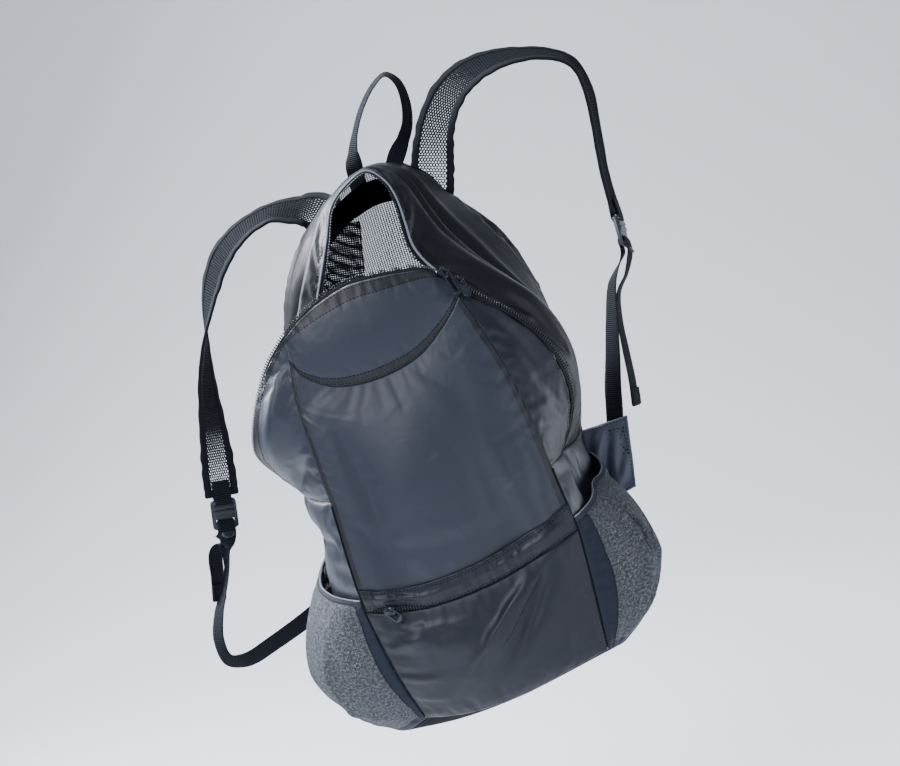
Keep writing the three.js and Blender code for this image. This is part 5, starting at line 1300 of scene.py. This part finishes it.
# Pocket zip in the slot between the front pocket and its band
pocketEdge = edgeSpots(sewn["front_pocket"], "top")
bandEdge = edgeSpots(sewn["front_pocket_band"], "bottom")
bandShares = np.linspace(0, 1, len(pocketEdge["points"]))
bandAt = {key: curveAt(value, bandShares) for key, value in bandEdge.items()}
slotSpots = {
    "points": (pocketEdge["points"] + bandAt["points"]) / 2,
    "out": unit(bandAt["points"] - pocketEdge["points"]),
    "facing": unit(pocketEdge["facing"] + bandAt["facing"]),
}
slotSpots = someSpots(slotSpots, 3, -3)
addShutZip("pocket_zip_tape", slotSpots, zipCut["pocket"], "front_pocket_zip")


def beads(name, lines, pitch, halfSizes, detail, finish, slot):
    size = tuple(half / 1000 for half in halfSizes)
    piece = grow(name, beadRow, lineMesh(name, lines, "facing"), {
        "Pitch": pitch / 1000, "Size": size, "Lift": 0.0, "Detail": detail, "Material": finishes[finish]})
    return settle(piece, slot=slot)


beads("zip_teeth", toothLines, zipCut["toothPitch"], zipCut["tooth"], 2, "coil", "coil_zip")
print("zips made")

# Bindings: tape over the pocket lips with a pale strip on their edge, a pale hem binding on the hood's edge,
# their pale colour a painted highlight along these rims, and dark piping in the front seams
trim = {"lipNear": -0.6, "lipFar": 4.4, "lipThickness": 1.5, "hemWidth": 1.5, "hemThickness": 1.3,
        "pipingReach": 0.55, "pipingProud": 0.5}
for side in sidePockets:
    lipSpots = edgeSpots(sewn[f"side_pocket_{side}"], "top")
    edgeTape(f"lip_binding_{side}", lipSpots, trim["lipNear"], trim["lipFar"], 0, trim["lipThickness"],
             "netBinding",
             f"side_pocket_binding_{side}")
    # pale strip on the lip's edge: painted highlight
    edgeTape(f"lip_highlight_edge_{side}", lipSpots, trim["lipFar"] - 0.7, trim["lipFar"] + 0.5, 0,
             trim["lipThickness"] + 0.3,
             "highlightBinding")
    for distance in (0.9, 4.0):
        line = lipSpots["points"] + lipSpots["out"] * distance + lipSpots["facing"] * 0.85
        stitchLines.append((line[4:-4], lipSpots["facing"][4:-4]))
hemSpots = someSpots(hoodSpots, 2, mouthLength - 2)
# pale hem binding on the hood's edge, its pale colour a painted highlight
edgeTape("hood_hem_highlight", hemSpots, -trim["hemWidth"], 0.6, 0, trim["hemThickness"], "highlightBinding")
for side in ("left", "right"):
    seamEdge = edgeSpots(sewn["front_panel"], side)
    low = len(seamEdge["points"]) * cells["low"] // (cells["low"] + cells["upper"])
    piping = someSpots(seamEdge, 2, low)
    piping["points"] = piping["points"] + piping["out"] * 0.5
    edgeTape(f"front_piping_{side}", piping, -trim["pipingReach"], trim["pipingReach"], -trim["pipingProud"],
             2 * trim["pipingReach"], "thread")
print("bindings made")


# Hard parts keep their CAD shape with the rounded edges of a moulding or casting
def bevelled(node, finish, width, body, slot):
    shape = bmesh.new()
    shape.from_mesh(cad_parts[node].data)
    bmesh.ops.remove_doubles(shape, verts=shape.verts, dist=1e-6)
    bmesh.ops.dissolve_limit(shape, angle_limit=math.radians(2), verts=shape.verts, edges=shape.edges)
    mesh = bpy.data.meshes.new(f"{node}_rounded")
    shape.to_mesh(mesh)
    shape.free()
    mesh.materials.clear()
    mesh.materials.append(finishes[finish])
    mesh.polygons.foreach_set("use_smooth", [True] * len(mesh.polygons))
    piece = addObject(f"{node}_rounded", mesh)
    edge = piece.modifiers.new("edges", "BEVEL")
    edge.width = width / 1000
    edge.segments = 3
    edge.limit_method = "ANGLE"
    edge.angle_limit = math.radians(25)
    edge.harden_normals = True
    return settle(piece, node, slot=slot, body=body)


hardParts = {
    "buckle_left": ("acetal", 0.9, "bag", "acetal"), "buckle_right": ("acetal", 0.9, "bag", "acetal"),
    "main_zip_slider": ("sliderEnamel", 0.5, "bag", "slider_metal"),
    "second_zip_slider": ("sliderEnamel", 0.5, "bag", "slider_metal"),
    "front_pocket_slider": ("sliderEnamel", 0.5, "bag", "slider_metal"),
    "main_zip_pull": ("sliderEnamel", 0.42, "main_pull", "slider_metal"),
    "second_zip_pull": ("sliderEnamel", 0.42, "second_pull", "slider_metal"),
    "front_pocket_pull": ("sliderEnamel", 0.42, "pocket_pull", "slider_metal"),
}
for name, settings in hardParts.items():
    bevelled(name, *settings)

# Buckle details: gripping ribs across the frame and the thumb tongue at its foot
buckleGrip = {
    "ribs": 3, "ribRadius": 2.0, "ribPitch": 4.6, "ribSpan": 21,
    "tongueLength": 10, "tongueWidth": 12, "tongueTilt": 30, "tongueThickness": 2.4,
    "plateTop": 12.4, "plateFoot": -4.5, "plateThickness": 2.6,
}


def ribPoints(axes, height, outwards):
    ends = np.linspace(-buckleGrip["ribSpan"] / 2, buckleGrip["ribSpan"] / 2, 9)
    middle = axes["centre"] + axes["up"] * height + axes["face"] * outwards
    return middle + axes["across"] * ends[:, None]


def addBuckleGrip(side, outwards):
    axes = buckleAxes(side, outwards)
    if axes["face"][1] > 0:
        axes["face"], axes["across"] = -axes["face"], -axes["across"]
    proud = buckle["thickness"] / 2 - 0.2
    topBar = (buckle["length"] - buckle["bar"]) / 2
    reach = buckleGrip["ribRadius"]
    bars = [(f"rib_{number + 1}", topBar - number * buckleGrip["ribPitch"], proud, -reach, reach, 2 * reach)
            for number in range(buckleGrip["ribs"])]
    bars.append(("plate", 0, proud - 0.4, buckleGrip["plateFoot"], buckleGrip["plateTop"],
                 buckleGrip["plateThickness"]))
    for name, height, stand, near, far, thickness in bars:
        points = ribPoints(axes, height, stand)
        up, face = (np.broadcast_to(axes[key], points.shape) for key in ("up", "face"))
        bar = sweep(f"buckle_{side}_{name}", points, up, face, near, far, thickness, finishes["acetal"],
                    level=1)
        settle(bar, slot="acetal")
    tilt = math.radians(buckleGrip["tongueTilt"])
    down = unit(-axes["up"] * math.cos(tilt) + axes["face"] * math.sin(tilt))
    root = axes["centre"] - axes["up"] * (buckle["length"] / 2 - 1.5) + axes["face"] * 0.6
    steps = np.linspace(0, 1, 15)
    points = root + down * (steps * buckleGrip["tongueLength"])[:, None]
    half = buckleGrip["tongueWidth"] / 2 * np.sqrt(np.maximum(0.25, 1 - steps ** 6))
    across = np.broadcast_to(axes["across"], points.shape)
    facing = np.cross(across, np.broadcast_to(down, points.shape))
    tongue = sweep(f"buckle_{side}_tongue", points, across, facing, -half, half,
                   buckleGrip["tongueThickness"],
                   finishes["acetal"])
    settle(tongue, slot="acetal")


addBuckleGrip("right", 1)
addBuckleGrip("left", -1)

# Wing tabs: doubled cloth sewn into the back seams, the webbing boxed onto them
wings = {
    "thickness": 1.6, "height": 1.5, "columns": 24, "rows": 20, "stitchIn": 2.2,
    "right": [(0.86, 0.26), (1.19, 0.28), (1.275, 0.416), (0.87, 0.412)],
    "left": [(-1.2, 0.225), (-0.88, 0.24), (-0.92, 0.4), (-1.12, 0.325)],
    "folds": {"right": [(0.3, 0.6, 0.5, 0.1, 60, 0.04), (0.62, 0.45, 0.4, 0.1, 75, 0.025),
                        (0.8, 0.3, 0.3, 0.1, 40, 0.03)],
              "left": [(0.5, 0.5, 0.5, 0.12, 110, 0.03), (0.75, 0.5, 0.4, 0.08, 95, 0.02)]},
    # patch: a darker second net sheet inside, painted shade on the back net's left third
    "patch": [(-0.7, 0.6), (-0.42, 0.6), (-0.17, 0.915), (-0.5, 0.93)],  # second layer of net inside
    "patchDepth": -2.6,
    # x, z, wide, high, turn
    "box": {"right": (1.1625, 0.372, 12, 22, 5), "left": (-1.13, 0.248, 12, 14, 80)},
}


def boxStitch(centre, across, up, facing, wide, high):
    for path in ([(-1, -1), (1, -1), (1, 1), (-1, 1), (-1, -1), (1, 1)], [(1, -1), (-1, 1)]):
        rows = [centre + across * x * wide / 2 + up * y * high / 2 for x, y in path]
        for first, last in zip(rows[:-1], rows[1:]):
            points = first + (last - first) * np.linspace(0, 1, 12)[:, None]
            stitchLines.append((points, np.broadcast_to(facing, points.shape)))


# Flat sheet from four (x, z) shares: left foot, right foot, right head, left head
def flatSheet(outline, y, columns, rows):
    points = place([(x, 0, z) for x, z in outline]) + (0, y, 0)
    footLeft, footRight, headRight, headLeft = points
    pairs = ((footLeft, footRight, columns), (headLeft, headRight, columns), (footLeft, headLeft, rows),
             (footRight, headRight, rows))
    return edgeGrid(*(evenly([first, last], count) for first, last, count in pairs))


def addWingTab(side):
    grid = flatSheet(wings[side], wings["height"], wings["columns"], wings["rows"])
    u, v = shareGrid(grid)
    grid = grid - np.array([0, 1, 0]) * np.abs(foldHeight(wings["folds"][side], u, v))[..., None]
    tab = sheet(f"wing_{side}_cloth", grid, finishes["litWingNylon"], wings["thickness"])
    settle(tab, f"wing_tab_{side}", slot="ripstop_nylon")
    for edge in ("left", "right", "bottom", "top"):
        for direction in (1, -1):
            stitchAlong(grid, edge, wings["stitchIn"], ends=(0.06, 0.94), lift=direction * 0.9)
    x, z, wide, high, turn = wings["box"][side]
    centre = np.array([x * bag["width"] / 2, seatHeight("wing", webbing["thickness"]), z * bag["height"]])
    turn = math.radians(turn)
    across, up = np.array([math.cos(turn), 0, -math.sin(turn)]), np.array([math.sin(turn), 0, math.cos(turn)])
    for direction in (1, -1):
        lift = webbing["thickness"] / 2 + 0.1 if direction > 0 else -3.1
        boxStitch(centre + np.array([0, lift, 0]), across, up, np.array([0, float(direction), 0]), wide, high)


for side in ("right", "left"):
    addWingTab(side)


# Darker net sheet inside the back panel: painted shade over its left third
patch = flatSheet(wings["patch"], wings["patchDepth"], 12, 12)
settle(sheet("net_shade_sheet", patch, finishes["netShadeSheet"], 0.6), slot="back_net")

# CAD nodes that keep their shape get the finish of the real thing
keptNodes = {"strap_anchor_band": "webbing"}
for name, finish in keptNodes.items():
    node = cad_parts[name]
    node.data.materials.clear()
    node.data.materials.append(finishes[finish])
beads("topstitching", stitchLines, 3.1, (1.15, 0.4, 0.32), 1, "thread", "ripstop_nylon")
print("stitches and hard parts made")

# Studio: a pale sweep under and behind, with soft lights
studio = {
    "floor": -0.75, "sweepHalf": 6.0, "sweepBack": 2.4, "sweepRise": 5.0, "sweepRound": 1.2,
    "colour": "#dfe2e4",
    "world": ("#dfe5f0", 0.55),
    "lights": {
        # name: place in m, size in m, watts, colour
        "key": ((-0.9, -1.7, 0.9), 1.0, 40, "#f2f5ff"),
        "fill": ((1.5, -1.6, -0.5), 1.2, 13, "#eef3ff"),
        "backLeft": ((-1.4, 0.8, 0.7), 0.8, 80, "#f0f4ff"),
        "backRight": ((1.5, 0.5, -0.6), 0.9, 10, "#f0f4ff"),
        "top": ((-0.5, 0.25, 1.1), 0.5, 55, "#f4f7ff"),
    },
    "aim": (-0.03, -0.06, -0.25),
}


def addStudio():
    material, tree, shader = newMaterial("paleSweep", 0.9, 0.2)
    shader.inputs["Base Color"].default_value = hexColour(studio["colour"])
    half, back, rise, bend = (studio[key] for key in ("sweepHalf", "sweepBack", "sweepRise", "sweepRound"))
    angles = np.linspace(0, np.pi / 2, 13)
    bow = [(back - bend + bend * math.sin(angle), bend - bend * math.cos(angle)) for angle in angles]
    profile = [(-half, 0)] + bow + [(back, rise)]
    points = [(x, y, studio["floor"] + z) for y, z in profile for x in (-half, half)]
    faces = [(2 * k, 2 * k + 1, 2 * k + 3, 2 * k + 2) for k in range(len(profile) - 1)]
    mesh = bpy.data.meshes.new("sweep")
    mesh.from_pydata(points, [], faces)
    mesh.materials.append(material)
    mesh.polygons.foreach_set("use_smooth", [True] * len(mesh.polygons))
    addObject("sweep", mesh)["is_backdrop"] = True
    world = bpy.data.worlds.new("softSky")
    world.use_nodes = True
    background = world.node_tree.nodes["Background"]
    background.inputs["Color"].default_value = hexColour(studio["world"][0])
    background.inputs["Strength"].default_value = studio["world"][1]
    bpy.context.scene.world = world
    for name, (spot, size, watts, colour) in studio["lights"].items():
        data = bpy.data.lights.new(name, "AREA")
        data.shape = "DISK"
        data.size = size
        data.energy = watts
        data.color = hexColour(colour)[:3]
        lamp = addObject(name, data)
        lamp.location = spot
        lamp.rotation_euler = (Vector(studio["aim"]) - Vector(spot)).to_track_quat("-Z", "Y").to_euler()


addStudio()
print("studio ready")

low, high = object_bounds()
